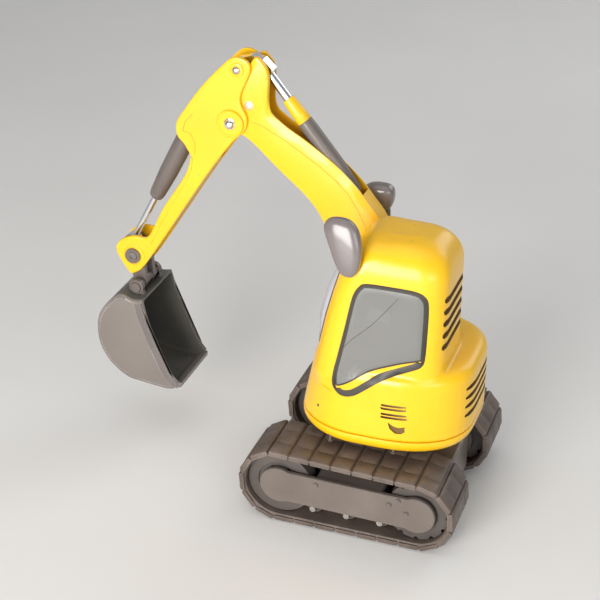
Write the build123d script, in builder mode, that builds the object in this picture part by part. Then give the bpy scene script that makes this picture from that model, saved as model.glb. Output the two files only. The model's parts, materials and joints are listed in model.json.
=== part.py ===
from build123d import *
import math
import os

# Remote-controlled crawler excavator, millimetres.
# Origin on the ground under the slewing axis, front towards -Y, left side +X, +Z up.
# Side profiles are drawn on Plane.YZ, so their points read (y, z).

# ---------------------------------------------------------------- undercarriage
wheel_base = 90.0          # front idler axle to rear sprocket axle
front_y = -wheel_base / 2
rear_y = wheel_base / 2
front_radius = 26.5        # ground to idler axle, over the pads
rear_radius = 25.0         # ground to sprocket axle, over the pads
track_inner_x = 25.5
track_outer_x = 65.0
track_mid_x = (track_inner_x + track_outer_x) / 2
belt_thickness = 3.0
pad_height = 1.8
pad_count = 24
wheel_gap = 0.3            # wheel rim to belt
lug_height = 2.4
lug_width = 6.0
wheel_inner_x = 33.5
wheel_outer_x = 58.5
groove_half = 3.6
axle_radius = 3.0
running = 0.05             # radial clearance of a turning fit
fitted = 0.02              # radial clearance of a fixed pin
inner_plate_x = 28.0
plate_thickness = 2.8
side_plate_x = 60.2
plate_end_radius = 12.5
plate_waist_radius = 11.0
roller_ys = (-23.4, -1.0, 21.0)
roller_radius = 5.0
roller_z = 10.2
roller_axle_radius = 1.5

# ---------------------------------------------------------------- chassis
chassis_half_x = 24.5
chassis_front_y = -36.0
chassis_rear_y = 57.0
chassis_bottom_z = 15.0
chassis_top_z = 40.0
chassis_wall = 2.0
pedestal_radius = 27.0
pedestal_top_z = 46.0
bottom_plate_z = 13.0
battery_y = -12.0
battery_size = (34.0, 28.0, 14.0)
door_size = (38.0, 32.0)
switch_y = 14.0
switch_travel = 3.0

# ---------------------------------------------------------------- gears
pressure_angle = 25.0
slew_module = 0.6
slew_teeth = 48
swing_pinion_teeth = 12
slew_centres = slew_module * (slew_teeth + swing_pinion_teeth) / 2
slew_gear_z = 46.4
slew_gear_height = 4.6
hub_radius = 9.0
hub_bore = 6.0
hub_top_z = 60.8
swing_motor_size = (20.0, 13.0)
drive_module = 0.5
drive_gear_teeth = 36
motor_pinion_teeth = 12
drive_centres = drive_module * (drive_gear_teeth + motor_pinion_teeth) / 2
drive_gear_x = 12.4
drive_gear_width = 4.0
drive_motor_radius = 6.0

# ---------------------------------------------------------------- house
house_bottom_z = 58.0
seam_z = 74.0
deck_z = 112.0
house_half_x = 51.0
house_front_y = -44.0
house_tail_y = 69.0
front_corner_radius = 26.0
tail_corner_radius = 42.0
lean = 3.07                # sides lean in by this angle
shell_wall = 2.2
cab_right_x = -11.0
cab_roof_z = 193.0
cab_rear_y = 51.0
well_right_x = -36.5
well_left_x = cab_right_x - 0.3
well_rear_y = 22.0
well_floor_z = 88.0

# ---------------------------------------------------------------- arm, positions as (y, z)
arm_x = -22.0              # middle plane of boom, stick and bucket
boom_foot = (6.0, 106.0)
stick_hinge = (-102.8, 235.4)
stick_top_pin = (-98.0, 270.5)
bucket_hinge = (-175.0, 131.5)
bucket_ear_pin = (-172.0, 110.5)
bucket_tail_pin = (-179.5, 137.5)
arm_cylinder_foot = (-25.0, 199.0)
bucket_cylinder_foot = (-134.7, 222.7)
boom_half = 8.0
boom_wall = 1.8
slot_half = 5.3            # slot in the boom's back that the cylinder lies in
ear_inner = 8.3
ear_outer = 10.5
hinge_pin_radius = 3.0
bucket_half = 25.0
bucket_wall = 2.2
arm_rod_radius = 2.8
bucket_rod_radius = 2.2
rod_eye_half = 3.6

os.makedirs("parts", exist_ok=True)


# ================================================================ helpers
def along(start, direction, distance):
    """Point at a distance from start along a unit direction, both in (y, z)."""
    return (start[0] + direction[0] * distance, start[1] + direction[1] * distance)


def unit(start, end):
    """Unit direction from start to end in (y, z)."""
    length = math.hypot(end[0] - start[0], end[1] - start[1])
    return ((end[0] - start[0]) / length, (end[1] - start[1]) / length)


def arm_plane(offset=0.0):
    """Plane of the arm's side profile, moved towards the machine's left."""
    return Plane.YZ.offset(arm_x + offset)


def axis_plane(start, direction, distance):
    """Plane across a cylinder's axis, its normal along the axis."""
    y, z = along(start, direction, distance)
    return Plane(origin=(arm_x, y, z), x_dir=(1, 0, 0), z_dir=(0, direction[0], direction[1]))


def gear_outline(module, teeth, turn, backlash=0.12):
    """Points of an involute spur gear's outline, first tooth turned this far from +x."""
    pitch_r = module * teeth / 2
    base_r = pitch_r * math.cos(math.radians(pressure_angle))
    tip_r = pitch_r + 0.8 * module
    root_r = pitch_r - 1.1 * module
    roll_pitch = math.tan(math.radians(pressure_angle)) - math.radians(pressure_angle)
    half_tooth = math.pi / (2 * teeth) - backlash / (2 * pitch_r) + roll_pitch
    flank = []
    for step in range(6):
        radius = base_r + (tip_r - base_r) * step / 5
        roll = math.sqrt(max(radius**2 / base_r**2 - 1, 0))
        flank.append((radius, half_tooth - (roll - math.atan(roll))))
    if root_r < base_r:
        flank.insert(0, (root_r, flank[0][1]))
    points = []
    for tooth in range(teeth):
        centre = 2 * math.pi * tooth / teeth + math.radians(turn)
        for radius, angle in flank:
            points.append((radius, centre - angle))
        for radius, angle in reversed(flank):
            points.append((radius, centre + angle))
    return [(r * math.cos(a), r * math.sin(a)) for r, a in points]


def gear_face(module, teeth, turn=0.0):
    """Flat spur gear centred on the origin."""
    with BuildSketch() as gear:
        with BuildLine():
            Polyline(*gear_outline(module, teeth, turn), close=True)
        make_face()
    return gear.sketch


# ================================================================ tracks
def track_hull(inset):
    """Track loop drawn round both wheels, inset from the pads' outside."""
    with Locations((front_y, front_radius)):
        Circle(front_radius - inset)
    with Locations((rear_y, rear_radius)):
        Circle(rear_radius - inset)
    make_hull()


def make_track_belts():
    """Rubber belts: band, tread pads outside and guide lugs inside."""
    middle = Plane.YZ.offset(track_mid_x)
    half_width = (track_outer_x - track_inner_x) / 2
    with BuildSketch(middle) as pad_path:
        track_hull(pad_height)
    with BuildSketch(middle) as lug_path:
        track_hull(pad_height + belt_thickness)
    with BuildPart() as left_track_belt:
        with BuildSketch(middle):
            with BuildSketch(mode=Mode.PRIVATE) as hollow:
                track_hull(pad_height + belt_thickness)
            track_hull(pad_height)
            add(hollow.sketch, mode=Mode.SUBTRACT)
        extrude(amount=half_width, both=True)
        rings = ((pad_path, 13.0, 12.2, pad_height, 1.0, half_width),
                 (lug_path, 3.4, 2.4, -lug_height, -0.8, lug_width / 2))
        for path, base, top, height, sink, half in rings:
            wire = path.sketch.faces()[0].outer_wire()
            length = wire.length
            for pad in range(pad_count):
                point = wire @ (pad / pad_count)
                tangent = wire % (pad / pad_count)
                outward = tangent.cross(Vector(1, 0, 0))
                centre_z = front_radius
                centre = Vector(point.X, max(front_y, min(rear_y, point.Y)), centre_z)
                if outward.dot(point - centre) < 0:
                    outward = outward * -1
                pad_plane = Plane(origin=point - outward * sink, x_dir=tangent,
                                  z_dir=tangent.cross(outward))
                rise = height + sink
                with BuildSketch(pad_plane):
                    with BuildLine():
                        Polyline((-base / 2, 0), (base / 2, 0), (top / 2, rise),
                                 (-top / 2, rise), close=True)
                    make_face()
                extrude(amount=half, both=True)
        with BuildSketch(middle):
            track_hull(0.0)
        extrude(amount=half_width, both=True, mode=Mode.INTERSECT)
    left_track_belt.part.label = "left_track_belt"
    export_step(left_track_belt.part, "parts/left_track_belt.step")
    with BuildPart() as right_track_belt:
        mirror(left_track_belt.part, about=Plane.YZ)
    right_track_belt.part.label = "right_track_belt"
    export_step(right_track_belt.part, "parts/right_track_belt.step")


def wheel_blank(centre, radius, bore):
    """Twin-rim track wheel with a groove for the belt's lugs and dished faces."""
    middle_x = (wheel_inner_x + wheel_outer_x) / 2
    half = (wheel_outer_x - wheel_inner_x) / 2
    with BuildPart() as blank:
        with BuildSketch(Plane.YZ.offset(middle_x)):
            with Locations(centre):
                Circle(radius)
        extrude(amount=half, both=True)
        with BuildSketch(Plane.YZ.offset(track_mid_x)):
            with Locations(centre):
                Circle(radius + 1)
                Circle(radius - lug_height - 2.0, mode=Mode.SUBTRACT)
        extrude(amount=groove_half, both=True, mode=Mode.SUBTRACT)
        for face_x, depth in ((wheel_outer_x, -1.2), (wheel_inner_x, 1.2)):
            with BuildSketch(Plane.YZ.offset(face_x)):
                with Locations(centre):
                    Circle(radius - 6.5)
                    Circle(axle_radius + 3.0, mode=Mode.SUBTRACT)
            extrude(amount=depth, mode=Mode.SUBTRACT)
        with BuildSketch(Plane.YZ.offset(middle_x)):
            with Locations(centre):
                Circle(bore)
        extrude(amount=half + 1, both=True, mode=Mode.SUBTRACT)
    return blank.part


def make_wheels():
    """Front idlers run on fixed axles; rear sprockets are keyed to the drive axles."""
    idler_radius = front_radius - pad_height - belt_thickness - wheel_gap
    sprocket_radius = rear_radius - pad_height - belt_thickness - wheel_gap
    idler_blank = wheel_blank((front_y, front_radius), idler_radius, axle_radius + running)
    with BuildPart() as left_idler:
        add(idler_blank)
        with BuildSketch(Plane.YZ.offset(wheel_outer_x)):
            with Locations((front_y, front_radius)):
                with PolarLocations(10.0, 6):
                    Circle(2.0)
        extrude(amount=-(wheel_outer_x - wheel_inner_x), mode=Mode.SUBTRACT)
    left_idler.part.label = "left_idler"
    export_step(left_idler.part, "parts/left_idler.step")
    with BuildPart() as right_idler:
        mirror(left_idler.part, about=Plane.YZ)
    right_idler.part.label = "right_idler"
    export_step(right_idler.part, "parts/right_idler.step")

    sprocket_blank = wheel_blank((rear_y, rear_radius), sprocket_radius, axle_radius + fitted)
    with BuildPart() as left_sprocket:
        add(sprocket_blank)
        with BuildSketch(Plane.YZ.offset(wheel_outer_x)):
            with Locations((rear_y, rear_radius)):
                with PolarLocations(sprocket_radius, 12):
                    Circle(1.6)
        extrude(amount=-(wheel_outer_x - wheel_inner_x), mode=Mode.SUBTRACT)
    left_sprocket.part.label = "left_sprocket"
    export_step(left_sprocket.part, "parts/left_sprocket.step")
    with BuildPart() as right_sprocket:
        mirror(left_sprocket.part, about=Plane.YZ)
    right_sprocket.part.label = "right_sprocket"
    export_step(right_sprocket.part, "parts/right_sprocket.step")


def make_rollers():
    """Small twin rollers that carry the lower run, three a side."""
    places = ("front", "middle", "rear")
    for place, roller_y in zip(places, roller_ys):
        with BuildPart() as roller:
            with BuildSketch(Plane.YZ.offset(38.4)):
                with Locations((roller_y, roller_z)):
                    Circle(roller_radius)
            extrude(amount=15.2)
            with BuildSketch(Plane.YZ.offset(track_mid_x)):
                with Locations((roller_y, roller_z)):
                    Circle(roller_radius + 1)
                    Circle(2.7, mode=Mode.SUBTRACT)
            extrude(amount=groove_half, both=True, mode=Mode.SUBTRACT)
            with BuildSketch(Plane.YZ.offset(38.4)):
                with Locations((roller_y, roller_z)):
                    Circle(roller_axle_radius + running)
            extrude(amount=15.2, mode=Mode.SUBTRACT)
        roller.part.label = f"left_{place}_roller"
        export_step(roller.part, f"parts/left_{place}_roller.step")
        with BuildPart() as right_roller:
            mirror(roller.part, about=Plane.YZ)
        right_roller.part.label = f"right_{place}_roller"
        export_step(right_roller.part, f"parts/right_{place}_roller.step")


def plate_outline(grow=0.0):
    """Long plate with round ends over both axles and a slightly narrower waist."""
    with Locations((front_y, front_radius)):
        Circle(plate_waist_radius + grow)
    with Locations((rear_y, rear_radius)):
        Circle(plate_waist_radius + grow)
    make_hull()
    with Locations((front_y, front_radius), (rear_y, rear_radius)):
        Circle(plate_end_radius + grow)


def make_track_frames():
    """Frame of each track: inner plate, box beam between the wheels and roller hangers."""
    beam_length = side_plate_x - 0.2 - inner_plate_x
    with BuildPart() as left_frame:
        with BuildSketch(Plane.YZ.offset(inner_plate_x)):
            plate_outline()
        extrude(amount=plate_thickness)
        with BuildSketch(Plane.YZ.offset(inner_plate_x)):
            with Locations((0.7, 26.5)):
                RectangleRounded(44.0, 19.0, 2.0)
        extrude(amount=beam_length)
        with BuildSketch(Plane.YZ.offset(inner_plate_x + plate_thickness)):
            with Locations((0.7, 26.5)):
                RectangleRounded(39.0, 14.0, 1.5)
        extrude(amount=beam_length, mode=Mode.SUBTRACT)
        for hanger_x in (35.8, 53.9):
            for roller_y in roller_ys:
                with BuildSketch(Plane.YZ.offset(hanger_x)):
                    with Locations((roller_y, roller_z + 0.5)):
                        Circle(3.0)
                    with Locations((0.85 * roller_y, 18.0)):
                        Circle(1.5)
                    make_hull()
                extrude(amount=2.2)
            with BuildSketch(Plane.YZ.offset(hanger_x)):
                with Locations(*[(roller_y, roller_z) for roller_y in roller_ys]):
                    Circle(roller_axle_radius + fitted)
            extrude(amount=2.2, mode=Mode.SUBTRACT)
        with BuildSketch(Plane.YZ.offset(inner_plate_x)):
            with Locations((front_y, front_radius), (rear_y, rear_radius)):
                Circle(axle_radius + running)
        extrude(amount=plate_thickness, mode=Mode.SUBTRACT)
    with BuildPart() as track_frames:
        add(left_frame.part)
        mirror(left_frame.part, about=Plane.YZ)
    track_frames.part.label = "track_frames"
    export_step(track_frames.part, "parts/track_frames.step")


side_screw_points = ((-19.7, 33.0), (28.1, 29.9), (39.2, 25.7), (34.0, 34.2))


def make_side_plates():
    """Outer cover plates of the tracks, with blind seats for the axle ends."""
    with BuildPart() as left_plate:
        with BuildSketch(Plane.YZ.offset(side_plate_x)):
            plate_outline()
        extrude(amount=plate_thickness)
        rim = left_plate.faces().sort_by(Axis.X)[-1].outer_wire().edges()
        chamfer(rim, 0.6)
        with BuildSketch(Plane.YZ.offset(side_plate_x)):
            with Locations((front_y, front_radius), (rear_y, rear_radius)):
                Circle(axle_radius + running)
        extrude(amount=1.6, mode=Mode.SUBTRACT)
        with BuildSketch(Plane.YZ.offset(side_plate_x)):
            with Locations(*side_screw_points):
                Circle(0.95)
        extrude(amount=plate_thickness, mode=Mode.SUBTRACT)
    with BuildPart() as side_plates:
        add(left_plate.part)
        mirror(left_plate.part, about=Plane.YZ)
    side_plates.part.label = "side_plates"
    export_step(side_plates.part, "parts/side_plates.step")


def make_axles():
    """Fixed steel axles: one for each idler, one for each small roller."""
    with BuildPart() as left_axles:
        with BuildSketch(Plane.YZ.offset(inner_plate_x - 1.0)):
            with Locations((front_y, front_radius)):
                Circle(axle_radius)
        extrude(amount=side_plate_x + 1.4 - inner_plate_x + 1.0)
        with BuildSketch(Plane.YZ.offset(35.0)):
            with Locations(*[(roller_y, roller_z) for roller_y in roller_ys]):
                Circle(roller_axle_radius)
        extrude(amount=21.3)
        with BuildSketch(Plane.YZ.offset(56.3)):
            with Locations(*[(roller_y, roller_z) for roller_y in roller_ys]):
                Circle(2.4)
        extrude(amount=2.2, taper=12)
    with BuildPart() as wheel_axles:
        add(left_axles.part)
        mirror(left_axles.part, about=Plane.YZ)
    wheel_axles.part.label = "wheel_axles"
    export_step(wheel_axles.part, "parts/wheel_axles.step")


def make_drive():
    """Rear drive: each sprocket's axle carries a gear that a motor pinion turns."""
    with BuildPart() as left_drive_axle:
        with BuildSketch(Plane.YZ.offset(10.0)):
            with Locations((rear_y, rear_radius)):
                Circle(axle_radius)
        extrude(amount=side_plate_x + 1.4 - 10.0)
        with BuildSketch(Plane(origin=(drive_gear_x, rear_y, rear_radius), x_dir=(0, 1, 0),
                               z_dir=(1, 0, 0))):
            add(gear_face(drive_module, drive_gear_teeth))
        extrude(amount=drive_gear_width)
    left_drive_axle.part.label = "left_drive_axle"
    export_step(left_drive_axle.part, "parts/left_drive_axle.step")
    with BuildPart() as right_drive_axle:
        mirror(left_drive_axle.part, about=Plane.YZ)
    right_drive_axle.part.label = "right_drive_axle"
    export_step(right_drive_axle.part, "parts/right_drive_axle.step")

    pinion_y = rear_y - drive_centres
    half_pitch = 180.0 / motor_pinion_teeth
    with BuildPart() as left_motor_pinion:
        pinion_plane = Plane(origin=(drive_gear_x, pinion_y, rear_radius), x_dir=(0, 1, 0),
                             z_dir=(1, 0, 0))
        with BuildSketch(pinion_plane):
            add(gear_face(drive_module, motor_pinion_teeth, half_pitch))
        extrude(amount=drive_gear_width)
        with BuildSketch(pinion_plane.offset(-0.6)):
            Circle(1.0)
        extrude(amount=0.6)
    left_motor_pinion.part.label = "left_motor_pinion"
    export_step(left_motor_pinion.part, "parts/left_motor_pinion.step")
    with BuildPart() as right_motor_pinion:
        mirror(left_motor_pinion.part, about=Plane.YZ)
    right_motor_pinion.part.label = "right_motor_pinion"
    export_step(right_motor_pinion.part, "parts/right_motor_pinion.step")

    with BuildPart() as left_motor:
        with BuildSketch(Plane.YZ.offset(0.8)):
            with Locations((pinion_y, rear_radius)):
                Circle(drive_motor_radius)
        extrude(amount=10.2)
        with BuildSketch(Plane.YZ.offset(11.0)):
            with Locations((pinion_y, rear_radius)):
                Circle(2.5)
        extrude(amount=0.8)
    with BuildPart() as drive_motors:
        add(left_motor.part)
        mirror(left_motor.part, about=Plane.YZ)
    drive_motors.part.label = "drive_motors"
    export_step(drive_motors.part, "parts/drive_motors.step")


# ================================================================ chassis
def chassis_screw_points():
    """Screws of the bottom plate, one near each corner."""
    return [(x, y) for x in (-20.2, 20.2) for y in (chassis_front_y + 4.5, chassis_rear_y - 4.5)]


def make_chassis():
    """Tub between the tracks, open below, with a round pedestal for the slewing gear."""
    length = chassis_rear_y - chassis_front_y
    middle_y = (chassis_rear_y + chassis_front_y) / 2
    with BuildPart() as chassis_frame:
        with BuildSketch(Plane.XY.offset(chassis_bottom_z)):
            with Locations((0, middle_y)):
                RectangleRounded(2 * chassis_half_x, length, 5.0)
        extrude(amount=chassis_top_z - chassis_bottom_z)
        top = chassis_frame.faces().sort_by(Axis.Z)[-1].edges()
        fillet(top, 2.0)
        with BuildSketch(Plane.YZ.offset(-inner_plate_x + 0.1)):
            with Locations((-18.0, 28.0), (18.0, 28.0)):
                RectangleRounded(12.0, 10.0, 1.5)
        extrude(amount=2 * (inner_plate_x - 0.1))
        with BuildSketch(Plane.XY.offset(chassis_bottom_z)):
            with Locations((0, middle_y)):
                RectangleRounded(2 * (chassis_half_x - chassis_wall), length - 2 * chassis_wall, 3.0)
        extrude(amount=chassis_top_z - chassis_bottom_z - chassis_wall, mode=Mode.SUBTRACT)
        with BuildSketch(Plane.XY.offset(chassis_bottom_z)):
            with Locations(*chassis_screw_points()):
                Circle(2.6)
        extrude(amount=chassis_top_z - chassis_bottom_z - 1.0)
        with BuildSketch(Plane.XY.offset(chassis_top_z - 1.0)):
            Circle(pedestal_radius)
        extrude(amount=pedestal_top_z - chassis_top_z + 1.0)
        with BuildSketch(Plane.XY.offset(bottom_plate_z)):
            Circle(hub_bore)
        extrude(amount=pedestal_top_z - bottom_plate_z, mode=Mode.SUBTRACT)
        with BuildSketch(Plane.YZ.offset(-chassis_half_x - 1)):
            with Locations((rear_y, rear_radius)):
                Circle(axle_radius + running)
        extrude(amount=2 * (chassis_half_x + 1), mode=Mode.SUBTRACT)
        with BuildSketch(Plane.XY.offset(chassis_bottom_z)):
            with Locations(*chassis_screw_points()):
                Circle(0.95)
        extrude(amount=8.0, mode=Mode.SUBTRACT)
    chassis_frame.part.label = "chassis_frame"
    export_step(chassis_frame.part, "parts/chassis_frame.step")


def make_chassis_bottom():
    """Bottom plate with the battery hatch, the switch slot and the motors' cradle."""
    length = chassis_rear_y - chassis_front_y
    middle_y = (chassis_rear_y + chassis_front_y) / 2
    motor_y = rear_y - drive_centres
    with BuildPart() as chassis_bottom:
        with BuildSketch(Plane.XY.offset(bottom_plate_z)):
            with Locations((0, middle_y)):
                RectangleRounded(2 * chassis_half_x, length, 5.0)
            with Locations((0, battery_y)):
                RectangleRounded(door_size[0] + 0.4, door_size[1] + 0.4, 1.2, mode=Mode.SUBTRACT)
            with Locations((0, switch_y)):
                RectangleRounded(2.6, 4.4 + switch_travel, 0.3, mode=Mode.SUBTRACT)
            with Locations(*chassis_screw_points()):
                Circle(0.95, mode=Mode.SUBTRACT)
        extrude(amount=chassis_bottom_z - bottom_plate_z - 0.05)
        with BuildSketch(Plane.XY.offset(chassis_bottom_z - 0.5)):
            with Locations((0, motor_y)):
                Rectangle(22.0, 9.0)
        extrude(amount=6.5)
        with BuildSketch(Plane.YZ.offset(-12.0)):
            with Locations((motor_y, rear_radius)):
                Circle(drive_motor_radius + 0.1)
        extrude(amount=24.0, mode=Mode.SUBTRACT)
    chassis_bottom.part.label = "chassis_bottom"
    export_step(chassis_bottom.part, "parts/chassis_bottom.step")


def make_battery():
    """Battery pack over its hatch, and the hatch with a finger notch."""
    with BuildPart() as battery_pack:
        with BuildSketch(Plane.XY.offset(chassis_bottom_z + 0.6)):
            with Locations((0, battery_y)):
                RectangleRounded(battery_size[0], battery_size[1], 2.5)
        extrude(amount=battery_size[2])
        fillet(battery_pack.faces().sort_by(Axis.Z)[-1].edges(), 1.5)
    battery_pack.part.label = "battery_pack"
    export_step(battery_pack.part, "parts/battery_pack.step")

    with BuildPart() as battery_door:
        with BuildSketch(Plane.XY.offset(bottom_plate_z)):
            with Locations((0, battery_y)):
                RectangleRounded(door_size[0], door_size[1], 1.0)
        extrude(amount=chassis_bottom_z - bottom_plate_z)
        with BuildSketch(Plane.XY.offset(bottom_plate_z)):
            with Locations((0, battery_y + 11.0)):
                SlotOverall(12.0, 4.0)
        extrude(amount=1.0, mode=Mode.SUBTRACT)
    battery_door.part.label = "battery_door"
    export_step(battery_door.part, "parts/battery_door.step")


def make_switch():
    """Slide switch: knob below the plate, neck in the slot, flange above it."""
    with BuildPart() as power_switch:
        with BuildSketch(Plane.XY.offset(bottom_plate_z - 1.4)):
            with Locations((0, switch_y - switch_travel / 2)):
                RectangleRounded(3.6, 4.6, 0.5)
        extrude(amount=1.3)
        with BuildSketch(Plane.XY.offset(bottom_plate_z - 0.3)):
            with Locations((0, switch_y - switch_travel / 2)):
                RectangleRounded(2.2, 3.8, 0.4)
        extrude(amount=2.6)
        with BuildSketch(Plane.XY.offset(chassis_bottom_z + 0.1)):
            with Locations((0, switch_y - switch_travel / 2)):
                RectangleRounded(6.0, 7.0, 0.6)
        extrude(amount=2.0)
    power_switch.part.label = "power_switch"
    export_step(power_switch.part, "parts/power_switch.step")


def make_slewing():
    """Fixed slewing gear with a hollow post, and the rings that carry and hold the house."""
    with BuildPart() as slew_gear:
        with BuildSketch(Plane.XY.offset(slew_gear_z)):
            add(gear_face(slew_module, slew_teeth))
        extrude(amount=slew_gear_height)
        with BuildSketch(Plane.XY.offset(pedestal_top_z + 0.05)):
            Circle(13.5)
        extrude(amount=slew_gear_z - pedestal_top_z)
        with BuildSketch(Plane.XY.offset(slew_gear_z)):
            Circle(hub_radius)
        extrude(amount=hub_top_z - slew_gear_z)
        with BuildSketch(Plane.XY.offset(pedestal_top_z)):
            Circle(hub_bore)
        extrude(amount=hub_top_z - pedestal_top_z, mode=Mode.SUBTRACT)
    slew_gear.part.label = "slew_gear"
    export_step(slew_gear.part, "parts/slew_gear.step")

    with BuildPart() as slip_ring:
        with BuildSketch(Plane.XY.offset(chassis_top_z + 0.5)):
            Circle(hub_bore - 0.1)
        extrude(amount=16.0)
        with BuildSketch(Plane.XY.offset(chassis_top_z + 16.0)):
            Circle(2.2)
        extrude(amount=10.0)
    slip_ring.part.label = "slip_ring"
    export_step(slip_ring.part, "parts/slip_ring.step")

    bearing_z = slew_gear_z + slew_gear_height + 0.1
    with BuildPart() as slew_rings:
        with BuildSketch(Plane.XY.offset(bearing_z)):
            Circle(15.0)
            Circle(hub_radius + 0.1, mode=Mode.SUBTRACT)
        extrude(amount=house_bottom_z - 0.1 - bearing_z)
        with BuildSketch(Plane.XY.offset(hub_top_z + 0.02)):
            Circle(11.2)
            Circle(hub_bore, mode=Mode.SUBTRACT)
        extrude(amount=2.4)
    slew_rings.part.label = "slew_rings"
    export_step(slew_rings.part, "parts/slew_rings.step")


def make_screws():
    """Pan-head screws of the side plates and of the bottom plate."""
    with BuildPart() as left_screws:
        for y, z in side_screw_points:
            with BuildSketch(Plane.YZ.offset(side_plate_x + 0.2)):
                with Locations((y, z)):
                    Circle(0.9)
            extrude(amount=plate_thickness)
            with BuildSketch(Plane.YZ.offset(side_plate_x + plate_thickness + 0.05)):
                with Locations((y, z)):
                    Circle(1.7)
            extrude(amount=1.0, taper=20)
    with BuildPart() as chassis_screws:
        add(left_screws.part)
        mirror(left_screws.part, about=Plane.YZ)
        for x, y in chassis_screw_points():
            with BuildSketch(Plane.XY.offset(bottom_plate_z - 0.05)):
                with Locations((x, y)):
                    Circle(1.7)
            extrude(amount=-1.0, taper=20)
            with BuildSketch(Plane.XY.offset(bottom_plate_z - 0.05)):
                with Locations((x, y)):
                    Circle(0.9)
            extrude(amount=9.0)
    chassis_screws.part.label = "chassis_screws"
    export_step(chassis_screws.part, "parts/chassis_screws.step")


# ================================================================ house
def lean_x(z):
    """Left side of the house at a height; the sides lean in from the bottom."""
    return house_half_x - math.tan(math.radians(lean)) * (z - house_bottom_z)


def house_plan(inset):
    """Plan of the house: blunt front, round tail over the whole rear end."""
    half = house_half_x - inset
    front = house_front_y + inset
    tail = house_tail_y - inset
    with BuildSketch() as plan:
        with BuildLine() as outline:
            Polyline((-half, front), (half, front), (half, tail), (-half, tail), close=True)
            fillet(outline.vertices().group_by(Axis.Y)[0], front_corner_radius - inset)
            fillet(outline.vertices().group_by(Axis.Y)[-1], tail_corner_radius - inset)
        make_face()
    return plan.sketch


def house_block(bottom_z, top_z, inset):
    """Solid slice of the house between two heights, leaning in as it rises."""
    shrink = math.tan(math.radians(lean)) * (bottom_z - house_bottom_z)
    plan = house_plan(inset + shrink)
    with BuildPart() as block:
        with BuildSketch(Plane.XY.offset(bottom_z)):
            add(plan)
        extrude(amount=top_z - bottom_z, taper=lean)
    return block.part


cab_side = ((-41, 74), (-34, 112), (-24, 158), (-18, 180), (-6, 192), (4, 193.5), (24, 193),
            (36, 188.5), (45, 179), (50, 163), (cab_rear_y, 140), (cab_rear_y, 74))


def cab_block(inset):
    """Cab solid: where its side, front and plan outlines all meet."""
    left = house_half_x - inset
    right = cab_right_x + inset
    with BuildPart() as cab:
        with BuildSketch(Plane.YZ.offset(right)):
            with BuildLine():
                Polyline(*cab_side, close=True)
            make_face()
            if inset > 0:
                offset(amount=-inset)
        extrude(amount=left - right)
        with BuildSketch(Plane.XZ.offset(-100)):
            with BuildLine() as front_outline:
                Polyline((right, 70), (lean_x(70) - inset, 70),
                         (lean_x(cab_roof_z) - inset, cab_roof_z - inset),
                         (right, cab_roof_z - inset), close=True)
                fillet(front_outline.vertices().group_by(Axis.Z)[-1], 17.0 - inset)
            make_face()
        extrude(amount=200, mode=Mode.INTERSECT)
        with BuildSketch(Plane.XY.offset(70)):
            with BuildLine() as plan_outline:
                Polyline((right, -50), (left, -50), (left, cab_rear_y - inset),
                         (right, cab_rear_y - inset), close=True)
                fillet(plan_outline.vertices().group_by(Axis.Y)[-1], 12.0 - inset)
            make_face()
        extrude(amount=150, mode=Mode.INTERSECT)
    return cab.part


def window_prism(inset):
    """Side windows' outline, right through the cab."""
    with BuildPart() as prism:
        with BuildSketch(Plane.YZ.offset(cab_right_x - 3.0)):
            with BuildLine() as outline:
                Polyline((1, 170.5), (41.5, 167), (41.2, 119), (16, 108.5), (3, 97), (-5, 92.5),
                         (-15, 94), (-12.5, 115), close=True)
                fillet(outline.vertices(), 4.0)
            make_face()
            offset(amount=-inset)
        extrude(amount=70.0)
    return prism.part


def windshield_prism(inset):
    """Windshield's outline, through the cab's front wall only."""
    with BuildPart() as prism:
        with BuildSketch(Plane.XZ.offset(60)):
            with Locations(((cab_right_x + lean_x(150.0)) / 2, 136)):
                RectangleRounded(42.0 - 2 * inset, 74.0 - 2 * inset, 7.0 - inset)
        extrude(amount=-54.0)
    return prism.part


def tray_screw_points():
    """Screws that hold the tray to the body, beside its walls."""
    return [(x, y) for x in (-46.3, 46.3) for y in (-16.0, 25.0)]


def make_house_tray():
    """Floor of the house with its skirt wall, turning on the slewing post."""
    outside = house_block(house_bottom_z, seam_z, 0.0)
    inside = house_block(house_bottom_z + 2.5, seam_z + 0.5, shell_wall)
    with BuildPart() as house_tray:
        add(outside)
        add(inside, mode=Mode.SUBTRACT)
        with BuildSketch(Plane.XY.offset(house_bottom_z - 3.6)):
            Circle(36.0)
            Circle(33.5, mode=Mode.SUBTRACT)
        extrude(amount=4.0)
        with BuildSketch(Plane.XY.offset(house_bottom_z)):
            with Locations(*tray_screw_points()):
                Circle(2.8)
        extrude(amount=seam_z - house_bottom_z)
        with BuildSketch(Plane.XY.offset(house_bottom_z - 5)):
            with Locations(*tray_screw_points()):
                Circle(1.0)
            Circle(hub_radius + 0.1)
            with Locations((0, slew_centres)):
                Circle(1.2)
        extrude(amount=seam_z - house_bottom_z + 6, mode=Mode.SUBTRACT)
    house_tray.part.label = "house_tray"
    export_step(house_tray.part, "parts/house_tray.step")


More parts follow.
